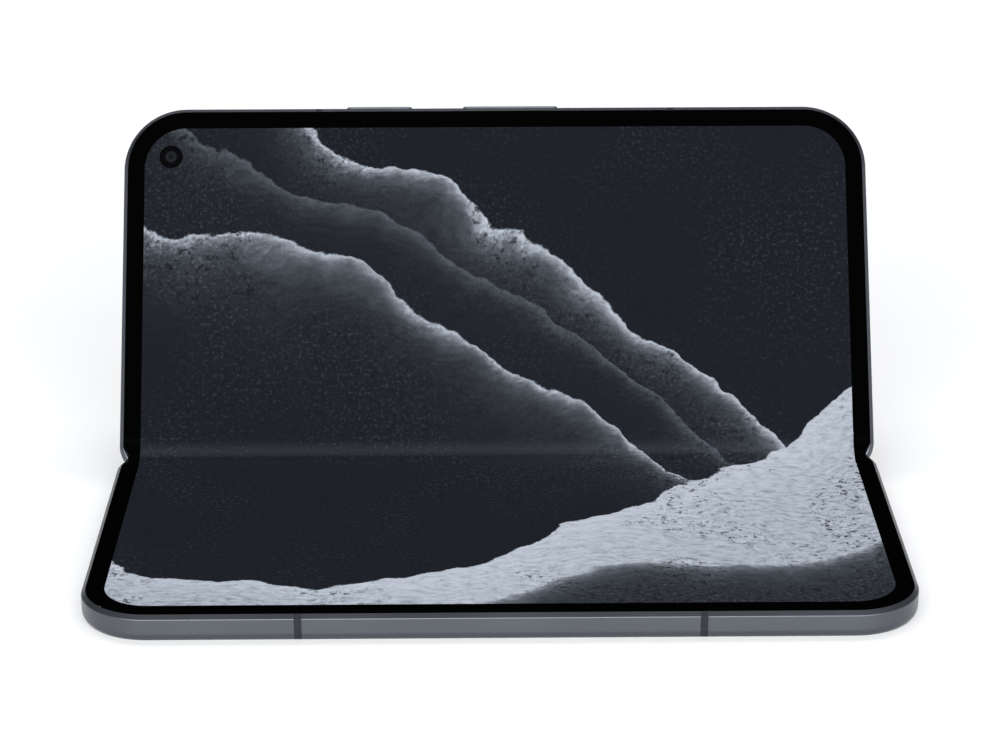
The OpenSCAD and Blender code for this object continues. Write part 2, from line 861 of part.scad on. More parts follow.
module sim_tray() {
    color("#666a70") on_lower_half() difference() {
        union() {
            slot_bar_x(port_s, -tray_z, tray_w, tray_h, side_x - tray_face_t, side_x);
            block([tray_x0, port_s - tray_body_w / 2, -tray_z - tray_t / 2],
                [side_x - tray_face_t, port_s + tray_body_w / 2, -tray_z + tray_t / 2]);
        }
        card_space(side_gap);
        bar_x(side_x - tray_face_t - 0.8, side_x + cut, port_s + tray_w / 2 - tray_h / 2 - 0.5, -tray_z,
            sound_hole_r);
    }
}

// Room for the card, open towards the web
module card_space(gap) {
    x1 = side_x - tray_face_t - 3;
    z0 = -tray_z - tray_t / 2 + 0.3;
    block([x1 - card_l - gap, port_s - card_w / 2 - gap, z0],
        [x1 + gap, port_s + card_w / 2 + gap, gap > 0 ? z0 + 2 * tray_t : z0 + card_t]);
}

module sim_card() {
    color("#d9d4c4") on_lower_half() card_space(0);
}

// ---------------------------------------------------------------- upper half, inside

main_board_x0 = island_x + island_w / 2 + 1.5;
main_board_x1 = main_board_x0 + main_board_w;
up_battery_x = main_board_x1 + 2.5;
up_battery_x1 = side_x - up_side_room;

module battery_upper() {
    color("#2c2e33") on_upper() block([up_battery_x, inside_s0, -upper_floor + coil_t + 0.05],
        [up_battery_x1, inside_s1, -part_top]);
}

module charging_coil() {
    color("#b5713a") on_upper() translate([(up_battery_x + up_battery_x1) / 2,
        (inside_s0 + inside_s1) / 2, -upper_floor]) difference() {
            cylinder(r = coil_r, h = coil_t);
            translate([0, 0, -cut]) cylinder(r = coil_r / 2, h = 3 * cut);
        }
}

module main_board() {
    color("#1d4a34") on_upper() {
        block([main_board_x0, inside_s0, -part_top - board_t], [main_board_x1, inside_s1, -part_top]);
        flex_tail(main_board_x1);
    }
}

shield_t = 0.15;
shield_h = 1.4;

module board_shield() {
    z1 = -part_top - board_t;
    low = [main_board_x0 + 1, inside_s0 + shield_from_s0, z1 - shield_h];
    high = [main_board_x1 - 1, inside_s1 - 1, z1];
    color("#c4c7cb") on_upper() difference() {
        block(low, high);
        block(low + [shield_t, shield_t, shield_t], high + [-shield_t, -shield_t, cut]);
    }
}

module processor() {
    low = [(main_board_x0 + main_board_x1 - chip_w) / 2, inside_s1 - chip_w - chip_inset,
        -part_top - board_t - chip_t];
    color("#1a1b1d") on_upper() block(low, low + [chip_w, chip_w, chip_t]);
}

module camera_island() {
    color("#5b5f65") on_upper() difference() {
        round_plate(island_x, island_s, island_w, island_len, island_r, -body_t - island_h, -body_t);
        for (i = [-1 : 1]) {
            camera_bore(i, barrel_r + side_gap, island_h + 2 * cut, -body_t - island_h - cut);
            camera_bore(i, lens_r + seam, lens_t + cut, -body_t - island_h - cut);
        }
        translate([flash_x, island_s, -body_t - island_h - cut])
            cylinder(r = flash_r + seam, h = lens_t + cut);
    }
}

module rear_cameras() {
    half = camera_box / 2;
    color("#141517") on_upper() for (i = [-1 : 1]) {
        camera_bore(i, barrel_r, body_t + island_h - lens_t - part_top, -body_t - island_h + lens_t);
        translate([island_x, island_s + i * camera_pitch, 0])
            block([-half, -half, -upper_floor], [half, half, -part_top]);
    }
}

module camera_lens_covers() {
    color("#0a0b0d") on_upper() for (i = [-1 : 1]) camera_bore(i, lens_r, lens_t, -body_t - island_h);
}

module flash_lamp() {
    color("#efe6c8") on_upper() translate([flash_x, island_s, -body_t - island_h])
        cylinder(r = flash_r, h = lens_t);
}

module inner_camera() {
    color("#141517") on_upper() {
        translate([eye_x, eye_s, -part_top]) cylinder(r = eye_d / 2 - 0.3, h = part_top - 0.4);
        block([eye_x - inner_eye_box / 2, eye_s - inner_eye_box / 2, -part_top - 2.3],
            [eye_x + inner_eye_box / 2, eye_s + inner_eye_box / 2, -part_top]);
    }
}

module inner_camera_window() {
    color("#08090b") on_upper() translate([eye_x, eye_s, -0.35]) cylinder(r = eye_d / 2 - 0.02, h = 0.35);
}

module top_speaker() {
    s1 = inside_s1 - top_speaker_inset;
    color("#2b2c2f") on_upper() block([-side_x + wall_t + 0.6, s1 - top_speaker_len, -upper_floor],
        [-side_x + wall_t + edge_part_w - 0.2, s1, -part_top]);
}

module bottom_speaker() {
    color("#2b2c2f") on_upper()
        block([small_part_x0, sound_s - 1.5, -upper_floor], [side_x - wall_t - 0.8, speaker_s1, -part_top]);
}

// Charging socket: metal shell with a closed back and a tongue
module usb_c_port() {
    x0 = side_x - 0.2 - usb_len;
    color("#9da0a4") on_upper() {
        difference() {
            slot_bar_x(port_s, -usb_z, usb_w, usb_h, x0, side_x - 0.2);
            slot_bar_x(port_s, -usb_z, usb_w - 2 * usb_wall, usb_h - 2 * usb_wall, x0 + 0.8, side_x + cut);
        }
        block([x0 + 0.4, port_s - 3.35, -usb_z - 0.35], [side_x - 1, port_s + 3.35, -usb_z + 0.35]);
    }
}

module charging_board() {
    color("#1d4a34") on_upper() block([up_battery_x1 + 2, inside_s0, -part_top - board_t],
        [side_x - 0.5 - usb_len, sound_s - 2.5, -part_top]);
}

// Strip along the inside of the edge, with a dome switch behind each key
module key_switch_flex() {
    x0 = power_x - power_len / 2;
    x1 = volume_x + volume_len / 2;
    color("#a8752c") on_upper() {
        block([x0, switch_s - 2 * switch_t, -key_z - 1], [x1, switch_s - switch_t, -web_z - 0.1]);
        for (x = [power_x, volume_x - volume_len / 3, volume_x + volume_len / 3])
            translate([x, switch_s - switch_t, -key_z]) rotate([-90, 0, 0]) cylinder(r = 0.9, h = switch_t);
    }
}

module edge_key(x, len, flange_len) {
    slot_bar_y(x, -key_z, len, key_h, key_flange_s - seam, half_d + key_out);
    slot_bar_y(x, -key_z, flange_len, key_h + 0.5, key_flange_s - key_flange_t, key_flange_s);
}

module power_button() {
    color("#7a7e84") on_upper() edge_key(power_x, power_len, power_len + 0.8);
}

module volume_rocker() {
    color("#7a7e84") on_upper() edge_key(volume_x, volume_len, volume_len / 2);
}

lower_frame();
lower_antenna_breaks();
cover_glass();
cover_display_panel();
cover_camera();
inner_display_lower();
lower_screen_bezel();
lower_support_plate();
battery_lower();
lower_board();
cover_earpiece();
lower_speaker();
haptic_motor();
card_reader();
lower_hinge_wings();
lower_hinge_shafts();
lower_timing_gears();
lower_wing_screws();
sim_tray();
sim_card();
spine_cover();
hinge_brackets();
friction_washers();
spine_screws();
hinge_end_caps();
display_fold_lower();
display_fold_upper();
hinge_flex_lower();
hinge_flex_upper();
idler_gears_lower();
idler_gears_upper();
upper_frame();
upper_antenna_breaks();
back_glass();
inner_display_upper();
upper_screen_bezel();
upper_support_plate();
battery_upper();
charging_coil();
main_board();
board_shield();
processor();
camera_island();
rear_cameras();
camera_lens_covers();
flash_lamp();
inner_camera();
inner_camera_window();
top_speaker();
bottom_speaker();
usb_c_port();
charging_board();
key_switch_flex();
upper_hinge_wings();
upper_hinge_shafts();
upper_timing_gears();
upper_wing_screws();
power_button();
volume_rocker();
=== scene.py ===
import math

import bmesh
import bpy
import numpy as np
from mathutils import Matrix, Vector


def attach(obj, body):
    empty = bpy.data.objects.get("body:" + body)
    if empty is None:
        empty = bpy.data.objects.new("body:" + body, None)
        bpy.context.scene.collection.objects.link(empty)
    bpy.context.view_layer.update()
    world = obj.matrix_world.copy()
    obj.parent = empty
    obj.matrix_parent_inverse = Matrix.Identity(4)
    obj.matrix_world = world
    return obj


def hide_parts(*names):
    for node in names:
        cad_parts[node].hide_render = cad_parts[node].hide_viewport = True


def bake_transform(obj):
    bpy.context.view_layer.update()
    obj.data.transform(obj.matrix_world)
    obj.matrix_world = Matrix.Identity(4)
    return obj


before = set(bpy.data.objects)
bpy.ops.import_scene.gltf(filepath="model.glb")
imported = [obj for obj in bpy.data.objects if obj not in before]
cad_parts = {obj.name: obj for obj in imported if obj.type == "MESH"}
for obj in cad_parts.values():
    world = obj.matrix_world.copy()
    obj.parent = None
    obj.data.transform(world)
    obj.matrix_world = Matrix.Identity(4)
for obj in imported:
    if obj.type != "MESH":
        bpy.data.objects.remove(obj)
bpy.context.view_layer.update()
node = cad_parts

# ---------------------------------------------------------------- camera
# A long lens looks down at the half-open phone from the side of its lower half,
# a hair off the middle.

yaw, pitch, roll = (math.radians(a) for a in (0.5233, 20.66224, -0.13792))
ahead = Vector((math.sin(yaw) * math.cos(pitch), math.cos(yaw) * math.cos(pitch), -math.sin(pitch)))
level = Vector((math.cos(yaw), -math.sin(yaw), 0))
right = math.cos(roll) * level + math.sin(roll) * level.cross(ahead)
camera = bpy.data.objects.new("camera", bpy.data.cameras.new("camera"))
camera.data.lens = 103.5
camera.data.sensor_width = 36
camera.data.clip_start, camera.data.clip_end = 0.01, 20
camera.matrix_world = Matrix.Translation((-0.00441, -0.50941, 0.22938)) @ Matrix(
    (right, right.cross(ahead), -ahead)).transposed().to_4x4()
bpy.context.scene.collection.objects.link(camera)
bpy.context.scene.camera = camera
bpy.context.scene.view_settings.view_transform = "Standard"

# ---------------------------------------------------------------- studio
# A white table top in a room that is bright in front and dark overhead, lit by a long
# soft lamp low in front, a wide one above it and one high behind.


def add(tree, kind, inputs=(), **settings):
    """A shader node. An input is a value, or the socket that feeds it."""
    made = tree.nodes.new("ShaderNode" + kind)
    for key, value in settings.items():
        setattr(made, key, value)
    for key, value in dict(inputs).items():
        if isinstance(value, bpy.types.NodeSocket):
            tree.links.new(value, made.inputs[key])
        else:
            made.inputs[key].default_value = value
    return made


def calc(tree, operation, *values):
    """A Math node's result."""
    return add(tree, "Math", dict(enumerate(values)), operation=operation).outputs[0]


def noise(tree, place, scale, detail, roughness=0.5, **inputs):
    """Soft random spots, about 0 to 1, with scale to the metre and so many finer layers."""
    return add(tree, "TexNoise", {"Vector": place, "Scale": scale, "Detail": detail,
                                  "Roughness": roughness, **inputs}).outputs["Fac"]


def ramp(tree, value, stops):
    """Colour of a value along the stops, each a place and a colour."""
    made = add(tree, "ValToRGB", {0: value})
    while len(made.color_ramp.elements) < len(stops):
        made.color_ramp.elements.new(1)
    for element, (place, colour) in zip(made.color_ramp.elements, stops):
        element.position, element.color = place, (*colour, 1)
    return made.outputs[0]


def new_material(name):
    """An empty material and its node tree."""
    made = bpy.data.materials.new(name)
    made.use_nodes = True
    made.node_tree.nodes.clear()
    return made, made.node_tree


floor_paint, tree = new_material("table_top")
place = add(tree, "NewGeometry").outputs["Position"]
mottle = noise(tree, place, 40, 4)
white = ramp(tree, mottle, [(0.3, (0.80, 0.80, 0.80)), (0.7, (0.815, 0.815, 0.815))])
matt = add(tree, "BsdfDiffuse", {"Color": white}).outputs[0]
lift = add(tree, "Emission", {"Color": (1, 1, 1, 1), "Strength": 0.27}).outputs[0]
seen = add(tree, "LightPath")
direct = calc(tree, "MAXIMUM", seen.outputs["Is Camera Ray"],
              calc(tree, "MAXIMUM", seen.outputs["Is Glossy Ray"], seen.outputs["Is Transmission Ray"]))
both = add(tree, "AddShader", {0: matt, 1: lift}).outputs[0]
mixed = add(tree, "MixShader", {0: direct, 1: matt, 2: both}).outputs[0]
# From below it is clear, so that the phone's underside can be looked at
clear = add(tree, "BsdfTransparent").outputs[0]
under = add(tree, "NewGeometry").outputs["Backfacing"]
one_sided = add(tree, "MixShader", {0: under, 1: mixed, 2: clear}).outputs[0]
add(tree, "OutputMaterial", {"Surface": one_sided})

table_size, table_z = 6.0, -0.00003
table = bpy.data.meshes.new("table_top")
table.from_pydata([(x * table_size, y * table_size, table_z)
                   for x, y in ((-1, -1), (1, -1), (1, 1), (-1, 1))], [], [(0, 1, 2, 3)])
table.materials.append(floor_paint)
floor = bpy.data.objects.new("table_top", table)
bpy.context.scene.collection.objects.link(floor)

world = bpy.data.worlds.new("studio")
world.use_nodes = True
world.node_tree.nodes.clear()
tree = world.node_tree
toward = add(tree, "SeparateXYZ", {0: add(tree, "TexCoord").outputs["Generated"]}).outputs
away = calc(tree, "MULTIPLY_ADD", toward["Y"], 0.6, toward["Z"])
sky = ramp(tree, calc(tree, "MULTIPLY_ADD", away, 0.42, 0.5), [
    (0.36, (1.0, 1.0, 1.0)), (0.50, (0.80, 0.81, 0.82)), (0.59, (0.44, 0.45, 0.47)),
    (0.74, (0.16, 0.17, 0.18)), (0.95, (0.08, 0.08, 0.09))])
shine = add(tree, "Background", {"Color": sky, "Strength": 1.5}).outputs[0]
add(tree, "OutputWorld", {"Surface": shine})
bpy.context.scene.world = world


lamp_aim = (0, 0, 0.03)


def soft_lamp(name, place, wide, high, power):
    """A soft lamp behind a rectangular cloth that points at the phone."""
    lamp = bpy.data.objects.new(name, bpy.data.lights.new(name, "AREA"))
    lamp.data.shape = "RECTANGLE"
    lamp.data.size, lamp.data.size_y, lamp.data.energy = wide, high, power
    lamp.location = place
    lamp.rotation_euler = (Vector(lamp_aim) - Vector(place)).to_track_quat("-Z", "Y").to_euler()
    lamp.visible_camera = False
    bpy.context.scene.collection.objects.link(lamp)


soft_lamp("lamp_front_low", (0, -1.6, 0.28), 2.4, 0.6, 19)
soft_lamp("lamp_front_high", (0, -1.3, 0.75), 2.4, 1.2, 14.5)
soft_lamp("lamp_back", (0, 0.5, 1.3), 2.0, 0.5, 9.5)

# ---------------------------------------------------------------- metal frames
# Each half has one frame milled from an aluminium plate and anodised slate grey:
# a rim with a sloping lip, a thin web across it, and a lip over the hinge at the back.
# The rim carries the key pockets, sound holes, socket, tray slot and antenna breaks.

body_w, half_d, body_t = 155.2, 75.1, 5.1
side_x = body_w / 2
corner_r, lip_w, wall_t = 13, 0.8, 2.2
fold_angle, axis_y, axis_depth = 29.5, 1.65, 1.45
# Gaps: in the fold, round what is glued in, round what slides; past is how far a cutter overshoots
fold_gap, seam, side_gap, past = 0.05, 0.05, 0.1, 1
# How far from the fold the screen and the cable are free to bend
bend_len = 5.5


def turned_about(y, angle):
    """Turns what is drawn in the flat phone's cross-section about one hinge axis."""
    return (Matrix.Translation((0, y, -axis_depth)) @ Matrix.Rotation(math.radians(angle), 4, "X")
            @ Matrix.Translation((0, -y, axis_depth)))


on_lower = Matrix.Scale(0.001, 4) @ Matrix.Translation((0, half_d / 2, body_t))
on_spine = on_lower @ turned_about(-axis_y, fold_angle)
on_upper = on_spine @ turned_about(axis_y, fold_angle)
on_lower_half = on_lower @ Matrix.Scale(-1, 4, (0, 1, 0))
halves = ("lower", "upper")
places = {"lower": on_lower_half, "upper": on_upper, "spine": on_spine}


def closed(shell):
    """The object of a closed mesh, in millimetres of the flat half."""
    bmesh.ops.recalc_face_normals(shell, faces=shell.faces)
    made = bpy.data.objects.new("blank", bpy.data.meshes.new("blank"))
    shell.to_mesh(made.data)
    shell.free()
    bpy.context.scene.collection.objects.link(made)
    return made


def rounded(corners, step=9.0, ends=False):
    """Outline through corners (x, y, radius), with an arc at each. An open line keeps its ends."""
    points = []
    for i, (x, y, radius) in enumerate(corners):
        if radius == 0 or ends and i in (0, len(corners) - 1):
            points.append((x, y))
            continue
        here = Vector((x, y))
        back = (Vector(corners[i - 1][:2]) - here).normalized()
        on = (Vector(corners[(i + 1) % len(corners)][:2]) - here).normalized()
        half = back.angle(on) / 2
        centre = here + (back + on).normalized() * radius / math.sin(half)
        first = here + back * radius / math.tan(half) - centre
        sweep = (math.pi - 2 * half) * (1 if back.x * on.y - back.y * on.x < 0 else -1)
        steps = max(2, round(abs(math.degrees(sweep)) / step))
        for k in range(steps + 1):
            arm = Matrix.Rotation(sweep * k / steps, 2) @ first
            points.append(tuple(centre + arm))
    return points


def extruded(outline, low, high, along="z"):
    """A solid drawn out along x, s or z from an outline in the other two."""
    spot = {
        "x": lambda a, b, c: (c, a, b),
        "s": lambda a, b, c: (a, c, b),
        "z": lambda a, b, c: (a, b, c)}[along]
    shell = bmesh.new()
    ends = [[shell.verts.new(spot(a, b, c)) for a, b in outline] for c in (low, high)]
    for end in ends:
        shell.faces.new(end)
    for i in range(len(outline)):
        shell.faces.new((ends[0][i - 1], ends[0][i], ends[1][i], ends[1][i - 1]))
    return closed(shell)


def block(low, high):
    """A box from its lowest and highest corners."""
    (x0, s0, z0), (x1, s1, z1) = low, high
    return extruded([(x0, s0), (x1, s0), (x1, s1), (x0, s1)], z0, z1)


def half_outline(inset, s0, radius):
    """A half's outline, inset from its edges, from s0 outward."""
    x, s1 = side_x - inset, half_d - inset
    return rounded([(-x, s0, 0), (x, s0, 0), (x, s1, radius), (-x, s1, radius)], 5)


def circle(x, y, radius, count=48):
    """Points of a circle."""
    turns = [2 * math.pi * k / count for k in range(count)]
    return [(x + radius * math.cos(t), y + radius * math.sin(t)) for t in turns]


def disc(x, s, radius, low, high, count=64):
    """A flat round solid along z."""
    return extruded(circle(x, s, radius, count), low, high)


def pane(x, y, wide, high, radius, step):
    """Outline of a rectangle with round corners."""
    return rounded([(x + i * wide / 2, y + j * high / 2, radius)
                    for i, j in ((-1, -1), (1, -1), (1, 1), (-1, 1))], step)


def slot(x, y, wide, high):
    """Outline of a slot with round ends."""
    return pane(x, y, wide, high, high / 2 - 0.001, 10)


def settle(solid):
    """Makes what the solid's modifiers do part of its mesh."""
    bpy.context.view_layer.update()
    seen = solid.evaluated_get(bpy.context.evaluated_depsgraph_get())
    result = bpy.data.meshes.new_from_object(seen)
    solid.modifiers.clear()
    solid.data = result


def carve(solid, cutters, operation="DIFFERENCE"):
    """Cuts the cutters from the solid, or keeps or adds what they share."""
    for cutter in cutters:
        step = solid.modifiers.new("carve", "BOOLEAN")
        step.operation, step.solver, step.object = operation, "MANIFOLD", cutter
    settle(solid)
    for cutter in cutters:
        bpy.data.objects.remove(cutter)
    return solid


sharp_angle = 32


def fitted(solid, name, part, material, stands_for=(), body=None):
    """Puts the finished solid in its place, with its finish and smooth shading. It rides on the
    half that it is drawn in, unless a body is given."""
    solid.name = solid.data.name = name
    solid.data.transform(places[part])
    if places[part].is_negative:
        solid.data.flip_normals()
    solid.data.shade_smooth()
    solid.data.set_sharp_from_angle(angle=math.radians(sharp_angle))
    step = solid.modifiers.new("even", "WEIGHTED_NORMAL")
    step.keep_sharp = True
    settle(solid)
    solid.data.materials.clear()
    solid.data.materials.append(material)
    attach(solid, body or part + "_half")
    if stands_for:
        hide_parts(*stands_for)
    return solid


def new_group(name, inputs, outputs):
    """A shader node group with its inputs (name, kind, value) and outputs (name, kind)."""
    made = bpy.data.node_groups.new(name, "ShaderNodeTree")
    for label, kind, value in inputs:
        entry = made.interface.new_socket(name=label, in_out="INPUT", socket_type="NodeSocket" + kind)
        if value is not None:
            entry.default_value = value
    for label, kind in outputs:
        made.interface.new_socket(name=label, in_out="OUTPUT", socket_type="NodeSocket" + kind)
    return made, made.nodes.new("NodeGroupInput").outputs, made.nodes.new("NodeGroupOutput").inputs


def use(tree, group, inputs=()):
    """A group placed in a material. Returns its outputs."""
    return add(tree, "Group", inputs, node_tree=group).outputs


def wander(tree, given, gives, tone_by, rough_by, least):
    """Lets a group's colour and roughness wander with two noises, and gives them out."""
    tone = calc(tree, "MULTIPLY_ADD", calc(tree, "SUBTRACT", tone_by, 0.5),
                calc(tree, "MULTIPLY", given["Tone change"], 4), 1)
    grey = add(tree, "CombineXYZ", {0: tone, 1: tone, 2: tone}).outputs[0]
    shade = add(tree, "VectorMath", {0: given["Colour"], 1: grey}, operation="MULTIPLY").outputs[0]
    tree.links.new(shade, gives["Colour"])
    rough = calc(tree, "MULTIPLY_ADD", calc(tree, "SUBTRACT", rough_by, 0.5),
                 calc(tree, "MULTIPLY", given["Roughness change"], 4), given["Roughness"])
    tree.links.new(add(tree, "Clamp", {0: rough, 1: least, 2: 1.0}).outputs[0], gives["Roughness"])


# Fine grain of a surface, with a slow change of tone under it
grain, given, gives = new_group(
    "grain",
    [("Colour", "Color", (0.5, 0.5, 0.5, 1)), ("Roughness", "Float", 0.4),
     ("Grains per metre", "Float", 9000), ("Tone change", "Float", 0.08),
     ("Roughness change", "Float", 0.1)],
    [("Colour", "Color"), ("Roughness", "Float"), ("Height", "Float")])
spot = add(grain, "TexCoord").outputs["Object"]
fine = noise(grain, spot, given["Grains per metre"], 3)
slow = noise(grain, spot, 45, 5, 0.6)
blend = calc(grain, "ADD", calc(grain, "MULTIPLY", fine, 0.6), calc(grain, "MULTIPLY", slow, 0.4))
wander(grain, given, gives, blend, slow, 0.03)
grain.links.new(fine, gives["Height"])


def relief(tree, height, depth, strength):
    """The normals of fine relief, with its depth in metres."""
    return add(tree, "Bump", {"Height": height, "Distance": depth, "Strength": strength}).outputs[0]


def shaded(tree, inputs):
    """The material's shader, on its output."""
    made = add(tree, "BsdfPrincipled", inputs)
    add(tree, "OutputMaterial", {"Surface": made.outputs[0]})
    return made


def grain_shader(name, colour, roughness, metallic=0.0, tone=0.06, rough_change=0.05, grains=9000,
                 depth=0.00001, specular=0.5, coat=0.0, coat_roughness=0.05):
    """A finish with fine grain: its material, node tree, shader node and grain outputs."""
    made, tree = new_material(name)
    fed = use(tree, grain, {"Colour": (*colour, 1), "Roughness": roughness, "Grains per metre": grains,
                            "Tone change": tone, "Roughness change": rough_change})
    bump = relief(tree, fed["Height"], depth, 0.6)
    shader = shaded(tree, {
        "Base Color": fed["Colour"], "Roughness": fed["Roughness"], "Metallic": metallic, "Normal": bump,
        "Specular IOR Level": specular, "Coat Weight": coat, "Coat Roughness": coat_roughness})
    return made, tree, shader, fed


def grained(*looks, **more):
    """The material alone of a finish with fine grain."""
    return grain_shader(*looks, **more)[0]


anodised = grained("anodised_slate", (0.107, 0.115, 0.130), 0.37, 1.0, 0.05, 0.04, 11000, 0.000012)

# Levels below the screen face
screen_t, plate_z, web_z, glass_z, hinge_floor = 0.5, 0.8, 1.2, 4.4, 4.6
# Distances from the fold, and the width of the rim round the back's panels
cavity_s, rib_s, back_strip, back_rim = 5.6, 6.9, 7, 1.2
# Near the fold each half narrows to a notch for the spine's round end
notch_r, near_s, notch_in, notch_s0, notch_s1 = 6.0377, fold_gap + 3.65, 1.05, 0.9, 3.2

# Rim section: distance in from the edge, and height
rim_section = rounded([(lip_w, 0, 0), (0, -0.75, 0.3), (0, -4.25, 2.2), (0.7, -body_t, 0.3),
                       (lip_w + 0.1, -body_t, 0)], 8, ends=True)


def half_envelope():
    """Solid outer shape of one half, swept round its edge."""
    far = half_d - corner_r
    path = []
    corners = (
        (side_x - corner_r, far, corner_r, 0), (corner_r - side_x, far, corner_r, 90),
        (notch_r - side_x, near_s, notch_r, 180), (side_x - notch_r, near_s, notch_r, 270))
    for x, s, r, first in corners:
        for k in range(19):
            turn = math.radians(first + 5 * k)
            path.append((x, s, r, math.cos(turn), math.sin(turn)))
    shell = bmesh.new()
    rings = [[shell.verts.new((x + (r - inset) * cx, s + (r - inset) * cy, z))
              for inset, z in rim_section] for x, s, r, cx, cy in path]
    for i in range(len(rings)):
        for k in range(len(rim_section) - 1):
            shell.faces.new((rings[i - 1][k], rings[i][k], rings[i][k + 1], rings[i - 1][k + 1]))
    shell.faces.new([ring[0] for ring in rings])
    shell.faces.new([ring[-1] for ring in rings])
    return carve(closed(shell), [block((-90, -9, -9), (90, fold_gap, 9))])


def half_plate(inset, s0, z0, z1, radius):
    """A flat plate of one half, round at its two outer corners."""
    return extruded(half_outline(inset, s0, radius), z0, z1)


def hinge_room():
    """What is open for the spine, and cut away so that the halves roll past each other."""
    end = side_x - lip_w
    wide = [(end - notch_in, -past), (end - notch_in, notch_s0), (end, notch_s1), (end, cavity_s)]
    cavity = extruded(wide + [(-x, s) for x, s in reversed(wide)], -hinge_floor, past)
    sweep = axis_y - fold_gap
    roll = [(-past, past), (axis_y, past)]
    roll += [(axis_y - sweep * math.sin(a), -axis_depth + sweep * math.cos(a))
             for a in (math.radians(7.5 * k) for k in range(13))]
    return [cavity, extruded(roll + [(-past, -axis_depth)], -90, 90, "x")]


unit_start, arm_w, arm2_x0, arm_low = 41.3, 4.4, 17.0, 2.95
cable_slot_x, cable_slot_low = 7.1, 1.8


def rib_slots():
    """Slots in the rib where the hinge's arms and the flex cable pass."""
    middles = [side * (unit_start + x + arm_w / 2) for side in (-1, 1) for x in (0, arm2_x0)]
    low, high = cavity_s - past, rib_s + past
    arms = [block((x - arm_w / 2 - side_gap, low, -arm_low), (x + arm_w / 2 + side_gap, high, -web_z))
            for x in middles]
    return arms + [block((-cable_slot_x, low, -cable_slot_low), (cable_slot_x, high, -web_z))]


break_x, break_w = 36.9, 1.4


def antenna_slots():
    """The cuts across the outer edge that the antenna breaks fill."""
    low, high = (half_d - past, -body_t - past), (half_d + past, past)
    return [block((x - break_w / 2, *low), (x + break_w / 2, *high)) for x in (-break_x, break_x)]


def half_frame():
    """What both frames share."""
    return carve(half_envelope(), [
        *hinge_room(),
        half_plate(lip_w, cavity_s - seam, -plate_z, past, corner_r - lip_w),
        half_plate(wall_t, rib_s, -glass_z - 0.5, -web_z, corner_r - wall_t),
        half_plate(back_rim, back_strip - seam, -body_t - past, -glass_z, corner_r - back_rim),
        *rib_slots(), *antenna_slots()])


port_s, usb_z, tray_z = half_d / 2, 2.8, 2.4
tray_slot, usb_slot = (13.6, 2.0), (9.0, 3.2)
sound_x, sound_pitch, sound_r = 48, 1.7, 0.45


def side_cut(outline):
    """What cuts an outline through the rim at the side."""
    return extruded(outline, side_x - wall_t - past, side_x + past, "x")


lower_frame = carve(half_frame(), [side_cut(slot(port_s, -tray_z, *tray_slot))])
fitted(lower_frame, "frame_lower", "lower", anodised, ["lower_frame"])

# Each key: its middle and length along the edge, and the length of its flange
keys = {"power_button": (-24.3, 13.7, 14.5), "volume_rocker": (3.2, 19.9, 9.95)}
key_z, key_h, key_out = 2.55, 2.0, 0.6
eye_x, eye_s, eye_r = -67.8, 64.7, 2.45
pockets = [slot(x, -key_z, length + 2 * side_gap, key_h + 2 * side_gap)
           for x, length, _ in keys.values()]
upper_frame = carve(half_frame(), [
    side_cut(slot(port_s, -usb_z, *usb_slot)),
    *[extruded(pocket, half_d - wall_t - past, half_d + past, "s") for pocket in pockets],
    *[side_cut(circle(sound_x + sound_pitch * i, -usb_z, sound_r, 20)) for i in range(6)],
    disc(eye_x, eye_s, eye_r, -3, past, 48)])
fitted(upper_frame, "frame_upper", "upper", anodised, ["upper_frame"])

# ---------------------------------------------------------------- antenna breaks
# Dark polymer is moulded into the cuts of each frame and machined flush with the
# metal, so that the antennas are not shorted.

polymer = grained("antenna_polymer", (0.024, 0.026, 0.031), 0.5, tone=0.1, grains=14000, specular=0.05)
for half in halves:
    for side, cut_block in zip(("left", "right"), antenna_slots()):
        strip = carve(cut_block, [half_envelope()], "INTERSECT")
        stands = [half + "_antenna_breaks"] if side == "left" else []
        fitted(strip, f"antenna_break_{half}_{side}", half, polymer, stands)

# ---------------------------------------------------------------- keys
# The power key and the volume rocker are anodised aluminium bars that stand proud
# of the upper half's outer edge. Each has a flange inside that keeps it in its pocket.

key_metal = grained("key_metal", (0.17, 0.18, 0.2), 0.3, 1.0, 0.05, 0.04, 12000, 0.00001)


def eased(solid, width, segments=3, angle=60):
    """Rounds the edges at which the solid turns by more than the angle."""
    step = solid.modifiers.new("ease", "BEVEL")
    step.width, step.segments, step.limit_method = width, segments, "ANGLE"
    step.angle_limit = math.radians(angle)
    settle(solid)
    return solid


flange_s, flange_t, flange_h = half_d - wall_t - 0.15, 0.4, key_h + 0.5
for name, (x, length, flange_len) in keys.items():
    bar = extruded(slot(x, -key_z, length, key_h), flange_s - seam, half_d + key_out, "s")
    flange = extruded(slot(x, -key_z, flange_len, flange_h), flange_s - flange_t, flange_s, "s")
    bar = carve(eased(bar, 0.16), [flange], "UNION")
    fitted(bar, "key_" + name, "upper", key_metal, [name], name)

# ---------------------------------------------------------------- folding screen
# One flexible panel lies across both halves: flat where a steel plate backs it, and
# free to bend over the hinge. A black polymer rim is glued round it on each half.


def span(tree, value, low, high, first=0.0, last=1.0, **settings):
    """The run of a value from low to high, stretched to the run from first to last."""
    return add(tree, "MapRange", {0: value, 1: low, 2: high, 3: first, 4: last}, **settings).outputs[0]


ridge_shape = dict(
    Height=0.0, Slope=0.0, Swing=0.1, Waves=3.0, Start=0.0, Crest=0.8, Fade=5.0, Foot=0.0)


